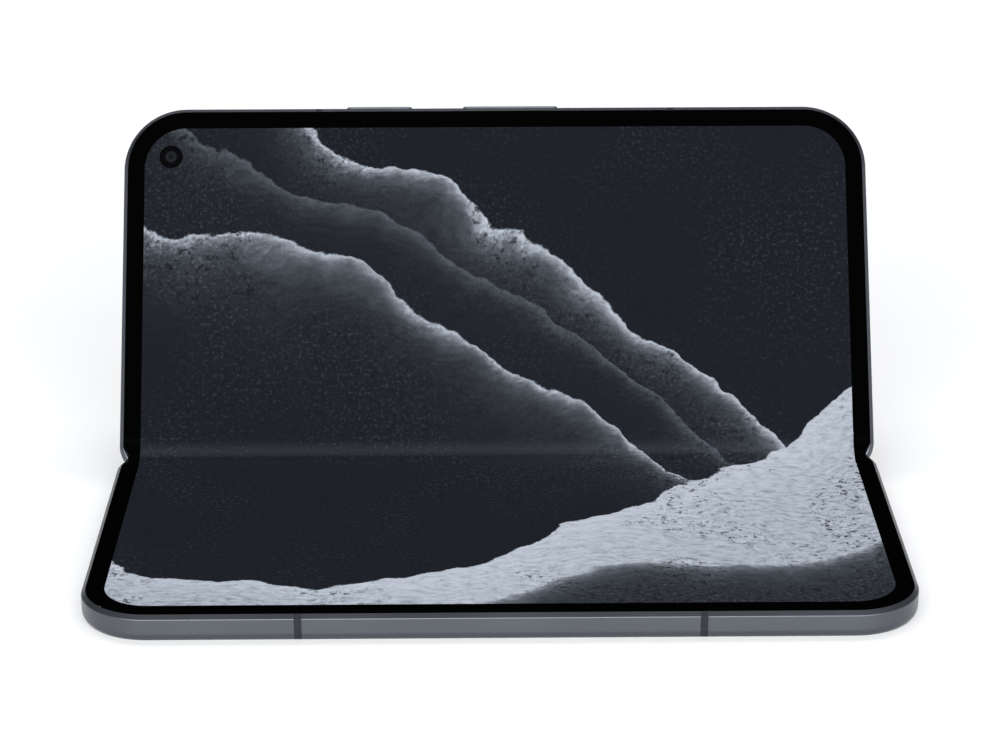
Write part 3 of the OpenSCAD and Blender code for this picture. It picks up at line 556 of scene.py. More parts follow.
def dune(name):
    """One ridge of the wallpaper, laid over what is behind it: bright at its crest, dark below."""
    made, given, gives = new_group(
        name,
        [("Place", "Vector", (0, 0, 0)), ("Behind", "Float", 0.0),
         *[(label, "Float", value) for label, value in ridge_shape.items()]],
        [("Light", "Float")])
    split = add(made, "SeparateXYZ", {0: given["Place"]}).outputs
    wave = calc(made, "SINE", calc(made, "MULTIPLY_ADD", split["X"], given["Waves"], given["Start"]))
    line = calc(made, "MULTIPLY_ADD", split["X"], given["Slope"], given["Height"])
    line = calc(made, "MULTIPLY_ADD", wave, given["Swing"], line)
    below = calc(made, "SUBTRACT", line, split["Y"])
    cover = span(made, below, -0.004, 0.004, interpolation_type="SMOOTHSTEP")
    depth = calc(made, "MULTIPLY", calc(made, "MAXIMUM", below, 0.0),
                 calc(made, "MULTIPLY", given["Fade"], -1.0))
    fall = calc(made, "MULTIPLY_ADD", calc(made, "EXPONENT", calc(made, "MULTIPLY", depth, 5.0)), 0.86,
                calc(made, "MULTIPLY", calc(made, "EXPONENT", depth), 0.14))
    light = calc(made, "MULTIPLY_ADD", fall, given["Crest"], given["Foot"])
    laid = add(made, "Mix", {0: cover, 2: given["Behind"], 3: light}).outputs[0]
    made.links.new(laid, gives["Light"])
    return made


ridge = dune("dune_ridge")

# The ridges of the wallpaper, from the furthest: what ridge_shape names, in its order
ridges = [
    (0.62, -0.78, 0.10, 3.1, 0.4, 0.95, 9.0, 0.010),
    (0.40, -0.66, 0.12, 2.9, 1.3, 0.22, 8.0, 0.014),
    (0.18, -0.55, 0.13, 2.6, 2.2, 0.80, 9.0, 0.009),
    (-0.52, 0.62, 0.12, 2.9, 4.4, 0.25, 1.0, 0.68),
    (-0.95, 0.42, 0.09, 4.2, 1.0, 0.50, 6.0, 0.034),
    (-1.02, -0.38, 0.07, 3.7, 2.6, 0.25, 1.6, 0.60),
]
picture_half_w = 0.0733  # metres


def picture(tree):
    """Soft ridges of sand: their light, 0 to 1, and each point's place, even and warped."""
    flat = add(tree, "Attribute", attribute_name="flat").outputs["Vector"]
    unit = add(tree, "VectorMath", {0: flat, "Scale": 1 / picture_half_w}, operation="SCALE").outputs[0]
    bend = add(tree, "TexNoise", {"Vector": unit, "Scale": 1.4, "Detail": 7, "Roughness": 0.52})
    bent = add(tree, "VectorMath", {0: bend.outputs["Color"], 1: (0.5, 0.5, 0.5)}, operation="SUBTRACT")
    bent = add(tree, "VectorMath", {0: bent.outputs[0], "Scale": 0.5}, operation="SCALE").outputs[0]
    warped = add(tree, "VectorMath", {0: unit, 1: bent}, operation="ADD").outputs[0]
    light = 0.012
    for values in ridges:
        shape = dict(zip(ridge_shape, values))
        light = use(tree, ridge, {"Place": warped, "Behind": light, **shape})["Light"]
    return light, unit, warped


def lit_screen():
    """The screen's finish: smooth black film over a lit picture that ends under the rim."""
    made, tree = new_material("lit_screen")
    light, unit, warped = picture(tree)
    # Fine streaks, and grit where the ground is rough
    drawn = add(tree, "VectorMath", {0: warped, 1: (26, 70, 1)}, operation="MULTIPLY").outputs[0]
    streaks = calc(tree, "SUBTRACT", noise(tree, drawn, 1.0, 4, 0.62), 0.5)
    specks = noise(tree, unit, 95, 3, 0.7)
    patch = noise(tree, warped, 2.6, 3)
    grit = calc(tree, "MULTIPLY", calc(tree, "SUBTRACT", specks, 0.5), 2.2)
    grit = calc(tree, "MULTIPLY", grit, span(tree, patch, 0.48, 0.66, 0.15, 1.0))
    streaked = calc(tree, "ADD", 1.0, calc(tree, "MULTIPLY", streaks, 1.5))
    light = calc(tree, "MULTIPLY", light, calc(tree, "ADD", streaked, grit))
    # Dark stones strewn in patches, and bright sparks in others
    stones = span(tree, noise(tree, unit, 42, 5, 0.72), 0.55, 0.60, 0.0, 0.78)
    strewn = calc(tree, "MULTIPLY", stones, span(tree, patch, 0.47, 0.58, 0.12, 1.0))
    light = calc(tree, "MULTIPLY", light, calc(tree, "SUBTRACT", 1.0, strewn))
    sparks = span(tree, specks, 0.54, 0.72, 0.0, 0.11)
    light = calc(tree, "MULTIPLY_ADD", sparks, span(tree, patch, 0.40, 0.62, 0.15, 1.0), light)
    colour = ramp(tree, light, [
        (0.0, (0.0105, 0.0122, 0.0176)), (0.03, (0.017, 0.0196, 0.0262)), (0.3, (0.115, 0.131, 0.155)),
        (0.75, (0.43, 0.475, 0.55)), (1.0, (0.54, 0.585, 0.66))])
    flat = add(tree, "Attribute", attribute_name="flat").outputs["Vector"]
    split = add(tree, "SeparateXYZ", {0: flat}).outputs
    across, along = (
        calc(tree, "LESS_THAN", calc(tree, "ABSOLUTE", split[axis]), (size - picture_border) / 1000)
        for axis, size in (("X", side_x), ("Y", half_d)))
    inside = calc(tree, "MULTIPLY", across, along)
    grain_value = noise(tree, flat, 14000, 2)
    bump = relief(tree, grain_value, 0.000001, 0.3)
    glow = add(tree, "VectorMath", {0: colour, "Scale": inside}, operation="SCALE").outputs[0]
    rough = span(tree, grain_value, 0.0, 1.0, 0.1, 0.16)
    # Painted sheen: the film's base colour is made paler in a band just above the fold on the upper
    # half, where the bent screen would catch the light
    from_fold = calc(tree, "MULTIPLY", calc(tree, "MULTIPLY", split["Y"], inside), 100)
    painted_fold_sheen = ramp(tree, from_fold, [
        (0.0, (0.0006, 0.0006, 0.0007)), (0.07, (0.0075, 0.0080, 0.0097)),
        (0.19, (0.0115, 0.0122, 0.0148)), (0.44, (0.0006, 0.0006, 0.0007))])
    shaded(tree, {"Base Color": painted_fold_sheen, "Roughness": rough, "Specular IOR Level": 0.002,
                  "Emission Color": glow, "Emission Strength": 1.0, "Normal": bump})
    return made


picture_border = 4.3
screen_film = lit_screen()
rim_polymer = grained("rim_polymer", (0.0006, 0.0006, 0.0007), 0.45, tone=0.1, grains=16000,
                      depth=0.000004, specular=0.001)


def mark_flat(solid, sign=1):
    """Keeps each point's place on the flat open screen, in metres, for the picture."""
    layer = solid.data.attributes.new("flat", "FLOAT_VECTOR", "POINT")
    scale = (0.001, 0.001 * sign, 0)
    layer.data.foreach_set(
        "vector", [c * k for vert in solid.data.vertices for c, k in zip(vert.co, scale)])
    return solid


panel_r = corner_r - lip_w - seam
for half, sign in (("lower", -1), ("upper", 1)):
    panel = half_plate(lip_w + seam, bend_len, -screen_t, 0, panel_r)
    if half == "upper":
        panel = carve(panel, [disc(eye_x, eye_s, eye_r, -past, past)])
    fitted(mark_flat(panel, sign), "screen_" + half, half, screen_film, ["inner_display_" + half])

# The rim: raised round the picture, with eased edges
rim_h, rim_w, picture_r = 0.12, 3.55, 8.65
picture_inset = lip_w + rim_w
for half in halves:
    rim = half_plate(lip_w + 2 * seam, bend_len, 0, rim_h, corner_r - lip_w - 2 * seam)
    rim = carve(rim, [half_plate(picture_inset, 0, -past, past, picture_r)])
    fitted(eased(rim, 0.05, 2), "screen_rim_" + half, half, rim_polymer,
           [half + "_screen_bezel"])


def smooth(t):
    """A share from 0 to 1 that starts and stops gently."""
    t = min(max(t, 0), 1)
    return t * t * (3 - 2 * t)


def bent(point, turn, start, along):
    """Where a point of the flat strip lies at rest: turned about the hinge axis by its own share.
    The share is the one that its resting place then gives between the strip's ends."""
    share = 0.5
    for _ in range(60):
        place = turn(share) @ point
        share = 0.5 * share + 0.5 * smooth((place - start).dot(along) / along.length_squared)
    return turn(share) @ point


def bent_strip(half, steps, columns, low):
    """The part of a flexible strip between one half and the spine, in so many steps. Columns gives,
    for a distance from the fold, the points (x, height) across its upper face. Returns the strip
    and its ends."""
    sign = -1 if half == "lower" else 1
    fold = on_spine @ Vector((0, 0, 0))
    flat_end = (on_lower if half == "lower" else on_upper) @ Vector((0, sign * bend_len, 0))
    start, end = (flat_end, fold) if half == "lower" else (fold, flat_end)

    def turn(share):
        if half == "lower":
            return on_lower @ turned_about(-axis_y, fold_angle * share)
        return on_spine @ turned_about(axis_y, fold_angle * share)

    shell = bmesh.new()
    layer = shell.verts.layers.float_vector.new("flat")
    grid = []
    for k in range(steps + 1):
        s = bend_len * k / steps
        above = columns(s)
        pair = []
        for line in (above, [(x, low) for x, _ in above]):
            pair.append([shell.verts.new(bent(Vector((x, sign * s, z)), turn, start, end - start))
                         for x, z in line])
            for vert, (x, _) in zip(pair[-1], line):
                vert[layer] = (x / 1000, sign * s / 1000, 0)
        grid.append(pair)
    for (top, under), (next_top, next_under) in zip(grid, grid[1:]):
        for i in range(len(top) - 1):
            shell.faces.new((top[i], top[i + 1], next_top[i + 1], next_top[i]))
            shell.faces.new((under[i], next_under[i], next_under[i + 1], under[i + 1]))
        shell.faces.new((top[0], next_top[0], next_under[0], under[0]))
        shell.faces.new((top[-1], under[-1], next_under[-1], next_top[-1]))
    for top, under in (grid[0], grid[-1]):
        shell.faces.new(top + under[::-1])
    return closed(shell), start, end


def hung(strip, name, material, stands_for):
    """Gives the strip, built bent between its half and the spine, its finish and smooth shading, and
    hides the part that it stands for.
    """
    strip.name = strip.data.name = name
    strip.data.shade_smooth()
    strip.data.set_sharp_from_angle(angle=math.radians(40))
    strip.data.materials.append(material)
    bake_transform(strip)
    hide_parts(stands_for)


picture_x, narrow_x, wide_x = side_x - picture_inset, 75.6, 76.65


def screen_columns(s):
    """Across the bending screen: its rims, which narrow at the fold, and the picture between them."""
    outer = float(np.interp(s, [notch_s0, notch_s1], [narrow_x, wide_x]))
    side = [(outer, rim_h - 0.04), (outer - 0.04, rim_h), (picture_x + 0.07, rim_h), (picture_x, 0)]
    return [(-x, z) for x, z in side] + [(x, 0) for x in np.linspace(-60, 60, 7)] + side[::-1]


# The part that bends: each half's strip meets the other over the middle of the spine
for half in halves:
    strip, *ends = bent_strip(half, 40, screen_columns, -screen_t)
    hung(strip, "screen_fold_" + half, screen_film, "display_fold_" + half)


def from_middle(tree):
    """How far a point is from the middle that its rings have: 1 at the radius given for them."""
    place = add(tree, "TexCoord").outputs["UV"]
    return add(tree, "VectorMath", {0: place}, operation="LENGTH").outputs["Value"]


# The camera behind its hole in the screen: a black window with the lens's rings in it
window_glass, tree, shader, _ = grain_shader(
    "camera_window", (0.003, 0.003, 0.004), 0.12, grains=3000, depth=0.0000005, specular=0.01)
rings = ramp(tree, from_middle(tree), [
    (0.0, (0.010, 0.011, 0.012)), (0.14, (0.003, 0.003, 0.004)), (0.30, (0.011, 0.012, 0.014)),
    (0.42, (0.010, 0.011, 0.013)), (0.52, (0.0015, 0.0015, 0.0018)), (0.9, (0.0008, 0.0008, 0.001))])
tree.links.new(rings, shader.inputs["Base Color"])


def ringed(solid, x, s, radius):
    """Marks how far each point is from the middle, so that rings can be printed round it."""
    layer = solid.data.uv_layers.new(name="rings")
    for loop, uv in zip(solid.data.loops, layer.data):
        place = solid.data.vertices[loop.vertex_index].co
        uv.uv = ((place.x - x) / radius, (place.y - s) / radius)
    return solid


window = eased(disc(eye_x, eye_s, eye_r - 0.02, -0.35, -0.02), 0.05)
fitted(ringed(window, eye_x, eye_s, eye_r), "camera_window", "upper", window_glass,
       ["inner_camera_window"])

# ---------------------------------------------------------------- back glass
# A frosted glass panel is glued into the back of the upper half, inside a narrow metal
# rim. Its edge is ground round, and three holes let the rear cameras through.

handling, given, gives = new_group(
    "handling", [("Roughness", "Float", 0.1), ("Amount", "Float", 0.08)],
    [("Roughness", "Float"), ("Height", "Float")])
spot = add(handling, "TexCoord").outputs["Object"]
smear = noise(handling, spot, 55, 6, 0.6, Distortion=1.2)
dust = add(handling, "TexVoronoi", {"Vector": spot, "Scale": 900}).outputs["Distance"]
dust = span(handling, dust, 0.10, 0.04)
smear = span(handling, smear, 0.42, 0.72)
marks = calc(handling, "MAXIMUM", smear, calc(handling, "MULTIPLY", dust, 0.8))
handling.links.new(calc(handling, "MULTIPLY_ADD", marks, given["Amount"], given["Roughness"]),
                   gives["Roughness"])
handling.links.new(dust, gives["Height"])


def handled(tree, shader, roughness, amount):
    """Gives a smooth face the marks of hands."""
    marks = use(tree, handling, {"Roughness": roughness, "Amount": amount})
    tree.links.new(marks["Roughness"], shader.inputs["Roughness"])


# Slate glass, etched on its face: even and satin
frosted_glass, tree, shader, _ = grain_shader(
    "frosted_back_glass", (0.082, 0.092, 0.108), 0.4, tone=0.03, grains=20000, depth=0.000004,
    specular=0.35, coat=0.15, coat_roughness=0.25)
handled(tree, shader, 0.38, 0.06)

barrel_r, lens_r, lens_t, lens_pitch = 3.4, 4.0, 0.5, 12.5
island_x, island_s, island_w, island_len, island_h, island_r = -57.0, 47.9, 21, 46, 1.3, 9
lens_places = [(island_x, island_s + i * lens_pitch) for i in (-1, 0, 1)]
back_panel_r, glass_edge = corner_r - back_rim - seam, 0.14
back = carve(half_plate(back_rim + seam, back_strip, -body_t, -glass_z, back_panel_r),
             [disc(x, s, barrel_r + side_gap, -body_t - past, 0) for x, s in lens_places])
fitted(eased(back, glass_edge, 4), "back_glass", "upper", frosted_glass, ["back_glass"])

# ---------------------------------------------------------------- cover screen
# The back of the lower half is a sheet of clear glass, black while it is off, over a
# second screen. The screen's picture area is a shade less black than its printed border.

cover_eye_x, cover_eye_r = -70.4, 2.2
cover_border, print_w, cover_z = wall_t + 1, 1.5, glass_z + 0.02
cover_finish, tree, shader, _ = grain_shader(
    "cover_glass", (0.003, 0.003, 0.0035), 0.06, grains=2500, depth=0.0000004, coat=1.0,
    coat_roughness=0.02)
flat = add(tree, "Attribute", attribute_name="flat").outputs["Vector"]
split = add(tree, "SeparateXYZ", {0: flat}).outputs
across = calc(tree, "LESS_THAN", calc(tree, "ABSOLUTE", split["X"]),
              (side_x - cover_border - print_w) / 1000)
low, high = (back_strip + 2 + print_w) / 1000, (half_d - cover_border - print_w) / 1000
off_middle = calc(tree, "SUBTRACT", split["Y"], (low + high) / 2)
along = calc(tree, "LESS_THAN", calc(tree, "ABSOLUTE", off_middle), (high - low) / 2)
area = calc(tree, "MULTIPLY", across, along)
cells = noise(tree, flat, 30000, 1)
shade = ramp(tree, calc(tree, "MULTIPLY", area, cells), [
    (0.0, (0.0022, 0.0022, 0.0024)), (0.5, (0.0062, 0.0066, 0.0082)), (1.0, (0.010, 0.0105, 0.013))])
tree.links.new(shade, shader.inputs["Base Color"])
handled(tree, shader, 0.05, 0.08)

cover = half_plate(back_rim + seam, back_strip, -body_t, -cover_z, back_panel_r)
cover = carve(cover, [disc(cover_eye_x, port_s, cover_eye_r, -body_t - past, 0)])
fitted(mark_flat(eased(cover, glass_edge, 4)), "cover_glass", "lower", cover_finish,
       ["cover_glass"])
window = disc(cover_eye_x, port_s, cover_eye_r - 0.03, -body_t + 0.03, -cover_z)
fitted(ringed(eased(window, 0.05), cover_eye_x, port_s, cover_eye_r), "cover_camera_window",
       "lower", window_glass)


def dress(material, *names):
    """Gives the finish to pieces that need no more shape than the plain part has."""
    for name in names:
        node[name].data.materials.clear()
        node[name].data.materials.append(material)


dress(grained("panel_black", (0.006, 0.0062, 0.0075), 0.3, tone=0.15, grains=24000, depth=0.000002),
      "cover_display_panel")

# ---------------------------------------------------------------- camera island
# The rear cameras stand in an anodised aluminium plate with a deep round edge, stuck
# to the back glass. Each lens has a seat for its cover, and the flash a smaller one.

island_finish = grained("island_metal", (0.125, 0.134, 0.148), 0.3, 1.0, 0.05, 0.05, 13000, 0.00001)
flash_r = 1.5
flash_x, island_out = island_x - island_w / 2 + 3.2, -body_t - island_h
outline = pane(island_x, island_s, island_w, island_len, island_r, 5)
island = carve(eased(extruded(outline, island_out, -body_t + past), 0.45, 6),
               [block((-90, 0, -body_t), (0, 90, 9))])
seat = (island_out - past, island_out + lens_t)
island = carve(island, [
    *[disc(x, s, lens_r + seam, *seat, 72) for x, s in lens_places],
    *[disc(x, s, barrel_r + side_gap, island_out - past, 0) for x, s in lens_places],
    disc(flash_x, island_s, flash_r + seam, *seat, 48)])
fitted(island, "camera_island", "upper", island_finish, ["camera_island"])


def lathed(profile, x, s, count=72):
    """A solid turned about a line along z at (x, s). Its profile (radius, height) leaves the line
    and comes back to it, or is closed, for a ring."""
    shell = bmesh.new()
    rings = []
    for r, z in profile:
        if rings and (r, z) == profile[0]:
            rings.append(rings[0])
            continue
        turns = [2 * math.pi * k / count for k in range(count if r else 1)]
        rings.append([shell.verts.new((x + r * math.cos(a), s + r * math.sin(a), z)) for a in turns])
    for near, far in zip(rings, rings[1:]):
        for k in range(count):
            corners = (near[k % len(near)], near[(k + 1) % len(near)],
                       far[(k + 1) % len(far)], far[k % len(far)])
            shell.faces.new(list(dict.fromkeys(corners)))
    return closed(shell)


# Metal rings hold the lens covers in their seats
ring_finish = grained("ring_metal", (0.30, 0.31, 0.33), 0.22, 1.0, 0.04, 0.05, 15000, 0.000006)
lens_names = dict(zip(("bottom", "middle", "top"), lens_places))
ring_in, ring_out = 3.84, 4.03
low, high = island_out + 0.05, island_out + lens_t - 0.02
for name, (x, s) in lens_names.items():
    ring = lathed([
        (ring_in, low), (ring_in + 0.04, island_out), (ring_out - 0.05, island_out), (ring_out, low),
        (ring_out, high), (ring_in, high), (ring_in, low)], x, s)
    fitted(ring, "lens_ring_" + name, "upper", ring_finish)

# ---------------------------------------------------------------- rear cameras
# Three camera modules stand in the island behind flat covers of hard clear glass. Each has
# a black box on the web, a stepped black barrel and a coated front lens.

clear_glass, tree = new_material("clear_cover_glass")
marks = use(tree, handling, {"Roughness": 0.01, "Amount": 0.02})
tint = noise(tree, add(tree, "TexCoord").outputs["Object"], 400, 2)
tint = ramp(tree, tint, [(0.3, (0.95, 0.96, 0.97)), (0.7, (0.99, 0.99, 0.99))])
shaded(tree, {"Base Color": tint, "Roughness": marks["Roughness"], "Transmission Weight": 1.0,
              "IOR": 1.15})

barrel_black, tree, shader, _ = grain_shader(
    "barrel_black", (0.004, 0.004, 0.0045), 0.5, tone=0.1, grains=16000, specular=0.06)
thread = calc(tree, "SINE", calc(tree, "MULTIPLY", from_middle(tree), 260.0))
tree.links.new(relief(tree, thread, 0.00002, 0.5), shader.inputs["Normal"])

coated_lens, tree, shader, _ = grain_shader(
    "coated_lens", (0.004, 0.004, 0.007), 0.03, grains=4000, depth=0.0000002, specular=0.25, coat=0.1,
    coat_roughness=0.01)
shader.inputs["Specular Tint"].default_value = (0.45, 0.40, 1.0, 1)
coating = ramp(tree, from_middle(tree), [
    (0.0, (0.010, 0.014, 0.034)), (0.35, (0.006, 0.006, 0.016)),
    (0.42, (0.020, 0.010, 0.034)), (0.48, (0.003, 0.003, 0.005))])
tree.links.new(coating, shader.inputs["Base Color"])

part_top, half_box, upper_floor, dome_r = 1.25, 4.5, glass_z - 0.05, 1.95
z = island_out + lens_t
dome = [(dome_r * math.sin(a), z + 1.02 - 0.55 * math.cos(a))
        for a in (math.radians(6 * k) for k in range(16))]
cover_low = island_out + 0.03
for name, (x, s) in lens_names.items():
    module = block((x - half_box, s - half_box, -upper_floor), (x + half_box, s + half_box, -part_top))
    barrel = lathed([
        (0, z + 1.1), (2.0, z + 1.1), (2.0, z + 0.75), (2.45, z + 0.75), (2.5, z + 0.4), (2.85, z + 0.4),
        (2.95, z + 0.1), (3.2, z + 0.02), (barrel_r, z + 0.02), (barrel_r, -upper_floor + 0.5),
        (0, -upper_floor + 0.5)], x, s)
    module = ringed(carve(eased(module, 0.2), [barrel], "UNION"), x, s, lens_r)
    stands = ["rear_cameras"] if name == "bottom" else []
    fitted(module, "camera_module_" + name, "upper", barrel_black, stands)
    lens = lathed([(0, dome[0][1]), *dome[1:], (0, z + 1.09)], x, s)
    fitted(ringed(lens, x, s, lens_r), "front_lens_" + name, "upper", coated_lens)
    cover = lathed([
        (0, cover_low), (ring_in - 0.06, cover_low), (ring_in - 0.01, island_out + 0.08),
        (ring_in - 0.01, z), (0, z)], x, s)
    stands = ["camera_lens_covers"] if name == "bottom" else []
    fitted(cover, "lens_cover_" + name, "upper", clear_glass, stands)

# ---------------------------------------------------------------- flash
# A small lamp sits between the lenses and the island's edge: a yellow phosphor chip under
# a clear moulded lens with fine rings.

flash_finish, tree, shader, _ = grain_shader(
    "flash_lens", (0.82, 0.74, 0.48), 0.25, tone=0.08, depth=0.000004, coat=0.8)
chip = ramp(tree, from_middle(tree), [
    (0.0, (0.86, 0.70, 0.22)), (0.42, (0.84, 0.70, 0.26)), (0.5, (0.78, 0.77, 0.70)),
    (1.0, (0.66, 0.66, 0.63))])
tree.links.new(chip, shader.inputs["Base Color"])
flash_edge, face_z = flash_r - 0.02, island_out + 0.02
ring_count, ring_pitch, ring_w = 7, 0.2, 0.17
steps = []
for k in range(ring_count):
    r = flash_edge - ring_pitch * k
    steps += [(r, face_z + 0.07 * (k > 0)), (r - ring_w, face_z)]
flash_lens = lathed([(0, z), (flash_edge, z), *steps[:-1], (0, face_z)], flash_x, island_s, 48)
fitted(ringed(flash_lens, flash_x, island_s, flash_r), "flash_lens", "upper", flash_finish,
       ["flash_lamp"])

# ---------------------------------------------------------------- hinge
# Two hinge units join the halves: machined steel brackets in the spine, steel wings in the
# halves, ground shafts, four small brass gears each, and stacks of friction washers.

brushing, given, gives = new_group(
    "brushing",
    [("Colour", "Color", (0.5, 0.5, 0.5, 1)), ("Roughness", "Float", 0.3),
     ("Stretch", "Vector", (150, 9000, 9000)), ("Tone change", "Float", 0.1),
     ("Roughness change", "Float", 0.15)],
    [("Colour", "Color"), ("Roughness", "Float"), ("Height", "Float")])
spot = add(brushing, "TexCoord").outputs["Object"]
drawn = add(brushing, "VectorMath", {0: spot, 1: given["Stretch"]}, operation="MULTIPLY").outputs[0]
lines = noise(brushing, drawn, 1.0, 3)
worn = noise(brushing, spot, 220, 4)
wander(brushing, given, gives, lines, worn, 0.05)
brushing.links.new(lines, gives["Height"])


def brushed(name, colour, roughness, stretch=(150, 9000, 9000), tone=0.1, rough_change=0.06,
            depth=0.00001):
    """A bare metal finish with drawn or brushed lines."""
    made, tree = new_material(name)
    fed = use(tree, brushing, {"Colour": (*colour, 1), "Roughness": roughness, "Stretch": stretch,
                               "Tone change": tone, "Roughness change": rough_change})
    bump = relief(tree, fed["Height"], depth, 0.5)
    shaded(tree, {"Base Color": fed["Colour"], "Roughness": fed["Roughness"], "Metallic": 1.0,
                  "Normal": bump})
    return made


dress(brushed("wing_steel", (0.42, 0.43, 0.45), 0.34), "lower_hinge_wings", "upper_hinge_wings")
dress(brushed("bracket_steel", (0.36, 0.37, 0.39), 0.38, (4000, 4000, 700)), "hinge_brackets")
dress(brushed("ground_shaft", (0.60, 0.61, 0.63), 0.2, (9000, 300, 300)), "lower_hinge_shafts",
      "upper_hinge_shafts")
dress(brushed("washer_steel", (0.50, 0.51, 0.53), 0.28, (3300, 900, 900), 0.2), "friction_washers")
dress(brushed("gear_brass", (0.62, 0.44, 0.20), 0.3, (400, 7000, 7000), 0.12),
      "lower_timing_gears", "upper_timing_gears", "idler_gears_lower", "idler_gears_upper")
dress(grained("blackened_screw", (0.035, 0.036, 0.038), 0.42, 1.0, 0.12, 0.08, 12000),
      "lower_wing_screws", "upper_wing_screws", "spine_screws")
dress(grained("cap_plastic", (0.020, 0.021, 0.023), 0.55, tone=0.12), "hinge_end_caps")

# ---------------------------------------------------------------- hinge flex cable
# A thin amber polyimide cable carries the copper tracks from one half to the other. It
# bends just as the screen above it does.


def either(tree, share, first, second):
    """The first colour where the share is 0, the second where it is 1."""
    return add(tree, "Mix", {0: share, 6: first, 7: second}, data_type="RGBA").outputs[2]


flex_amber, tree, shader, fed = grain_shader(
    "flex_amber", (0.42, 0.20, 0.045), 0.35, tone=0.12, grains=5000, coat=0.5, coat_roughness=0.2)
spot = add(tree, "SeparateXYZ", {0: add(tree, "TexCoord").outputs["Object"]}).outputs["X"]
track_pitch = 0.0006  # metres
wave = calc(tree, "SINE", calc(tree, "MULTIPLY", spot, 2 * math.pi / track_pitch))
track = calc(tree, "GREATER_THAN", wave, 0.1)
copper = either(tree, track, fed["Colour"], (0.50, 0.26, 0.085, 1))
tree.links.new(copper, shader.inputs["Base Color"])

flex_x, flex_top, flex_t = 7, axis_depth - 0.08, 0.15
flex_low = -flex_top - flex_t


def flex_columns(s):
    """Across the cable, which is as wide all the way."""
    return [(x, -flex_top) for x in np.linspace(-flex_x, flex_x, 9)]


for half in halves:
    strip, *ends = bent_strip(half, 30, flex_columns, flex_low)
    hung(strip, "hinge_flex_strip_" + half, flex_amber, "hinge_flex_" + half)
dress(flex_amber, "key_switch_flex")

# ---------------------------------------------------------------- spine
# The spine is a thin aluminium shell, drawn to two round corners that follow the turning
# halves, closed at both ends and polished a little brighter than the frames.

spine_floor, spine_t, spine_end = hinge_floor - side_gap, 0.4, 0.6
spine_r, spine_side_z = hinge_floor - axis_depth - 0.08, axis_y + axis_depth - side_gap


def spine_shape(r, floor_z, x_half, top_z):
    """The solid inside a skin of the spine: round corners about the hinge axes, a flat floor."""
    drop = math.asin(min(1.0, (floor_z - axis_depth) / r))
    rise = math.asin((top_z - axis_depth) / r)
    arc = [(axis_y + r * math.cos(a), -axis_depth - r * math.sin(a))
           for a in (rise + (drop - rise) * k / 16 for k in range(17))]
    return extruded(arc + [(-y, z) for y, z in reversed(arc)], -x_half, x_half, "x")


spine = spine_shape(spine_r, spine_floor, narrow_x, spine_side_z)
inner = spine_shape(spine_r - spine_t, spine_floor - spine_t, narrow_x - spine_end, spine_side_z - 0.01)
unit_len, screw_inset = arm2_x0 + arm_w, 2.2
screw_places = [side * (unit_start + x)
                for side in (-1, 1) for x in (screw_inset, unit_len - screw_inset)]
holes = [disc(x, 0, 0.45, -spine_floor + spine_t / 2, 0, 24) for x in screw_places]
spine = eased(carve(spine, [inner, *holes]), 0.1, angle=50)
spine_polish = brushed("spine_polish", (0.20, 0.21, 0.23), 0.24, (90, 7000, 7000), 0.05, 0.04, 0.000004)
fitted(spine, "spine_shell", "spine", spine_polish, ["spine_cover"], "hinge_spine")

# ---------------------------------------------------------------- card tray
# An aluminium tray slides into the side of the lower half. Its face is anodised with the
# frame and has a pin hole; the card lies in its bed with gold contacts uppermost.

tray_len, tray_w, tray_h, tray_t, tray_face_t, tray_body_w = 19, 13.5, 1.9, 1.1, 1.3, 11.3
card_w, card_l, card_t, card_cut = 8.8, 12.3, 0.67, 2
card_x1, card_z0 = side_x - tray_face_t - 3, -tray_z - tray_t / 2 + 0.3
face = extruded(slot(port_s, -tray_z, tray_w, tray_h), side_x - tray_face_t, side_x, "x")
bed = block((side_x - tray_len, port_s - tray_body_w / 2, -tray_z - tray_t / 2),
            (side_x - tray_face_t + 0.5, port_s + tray_body_w / 2, -tray_z + tray_t / 2))
tray = carve(eased(face, 0.14), [eased(bed, 0.15, 2)], "UNION")
tray = carve(tray, [
    block((card_x1 - card_l - side_gap, port_s - card_w / 2 - side_gap, card_z0),
          (card_x1 + side_gap, port_s + card_w / 2 + side_gap, 0)),
    extruded(circle(port_s + tray_w / 2 - tray_h / 2 - 0.5, -tray_z, sound_r, 32),
             side_x - tray_face_t - 0.8, side_x + past, "x")])
fitted(tray, "card_tray", "lower", anodised, ["sim_tray"], "sim_tray")

card_plastic = grained("card_plastic", (0.72, 0.68, 0.58), 0.42)
x0, s0, s1 = card_x1 - card_l, port_s - card_w / 2, port_s + card_w / 2
outline = [(x0, s0), (card_x1 - card_cut, s0), (card_x1, s0 + card_cut), (card_x1, s1), (x0, s1)]
card = extruded(outline, card_z0, card_z0 + card_t)
fitted(eased(card, 0.08, 2, 40), "network_card", "lower", card_plastic, ["sim_card"],
       "sim_tray")


def pads(places, size, low, high):
    """Many small flat plates as one piece, each with its middle at (x, s) and its size (in x, in s)."""
    shell = bmesh.new()
    for x, s in places:
        box = Matrix.Translation((x, s, (low + high) / 2)) @ Matrix.Diagonal((*size, high - low, 1))
        bmesh.ops.create_cube(shell, size=1, matrix=box)
    return closed(shell)


gold_t = 0.03
gold = brushed("contact_gold", (0.83, 0.58, 0.22), 0.26, (2500, 2500, 2500), 0.08, 0.05, 0.000004)
pad_size, pad_pitch = (2.35, 2.45), (2.5, 2.6)
card_pads = [(card_x1 - card_l / 2 + pad_pitch[0] * i, port_s + pad_pitch[1] * j)
             for i in (-1, 0, 1) for j in (-1, 0, 1)]
fitted(pads(card_pads, pad_size, card_z0 + card_t, card_z0 + card_t + gold_t), "card_contacts",
       "lower", gold, body="sim_tray")

# ---------------------------------------------------------------- charging socket
# A drawn steel shell with a closed back sits behind a slot in the side of the upper half,
# round a black tongue with gold contacts on both faces.

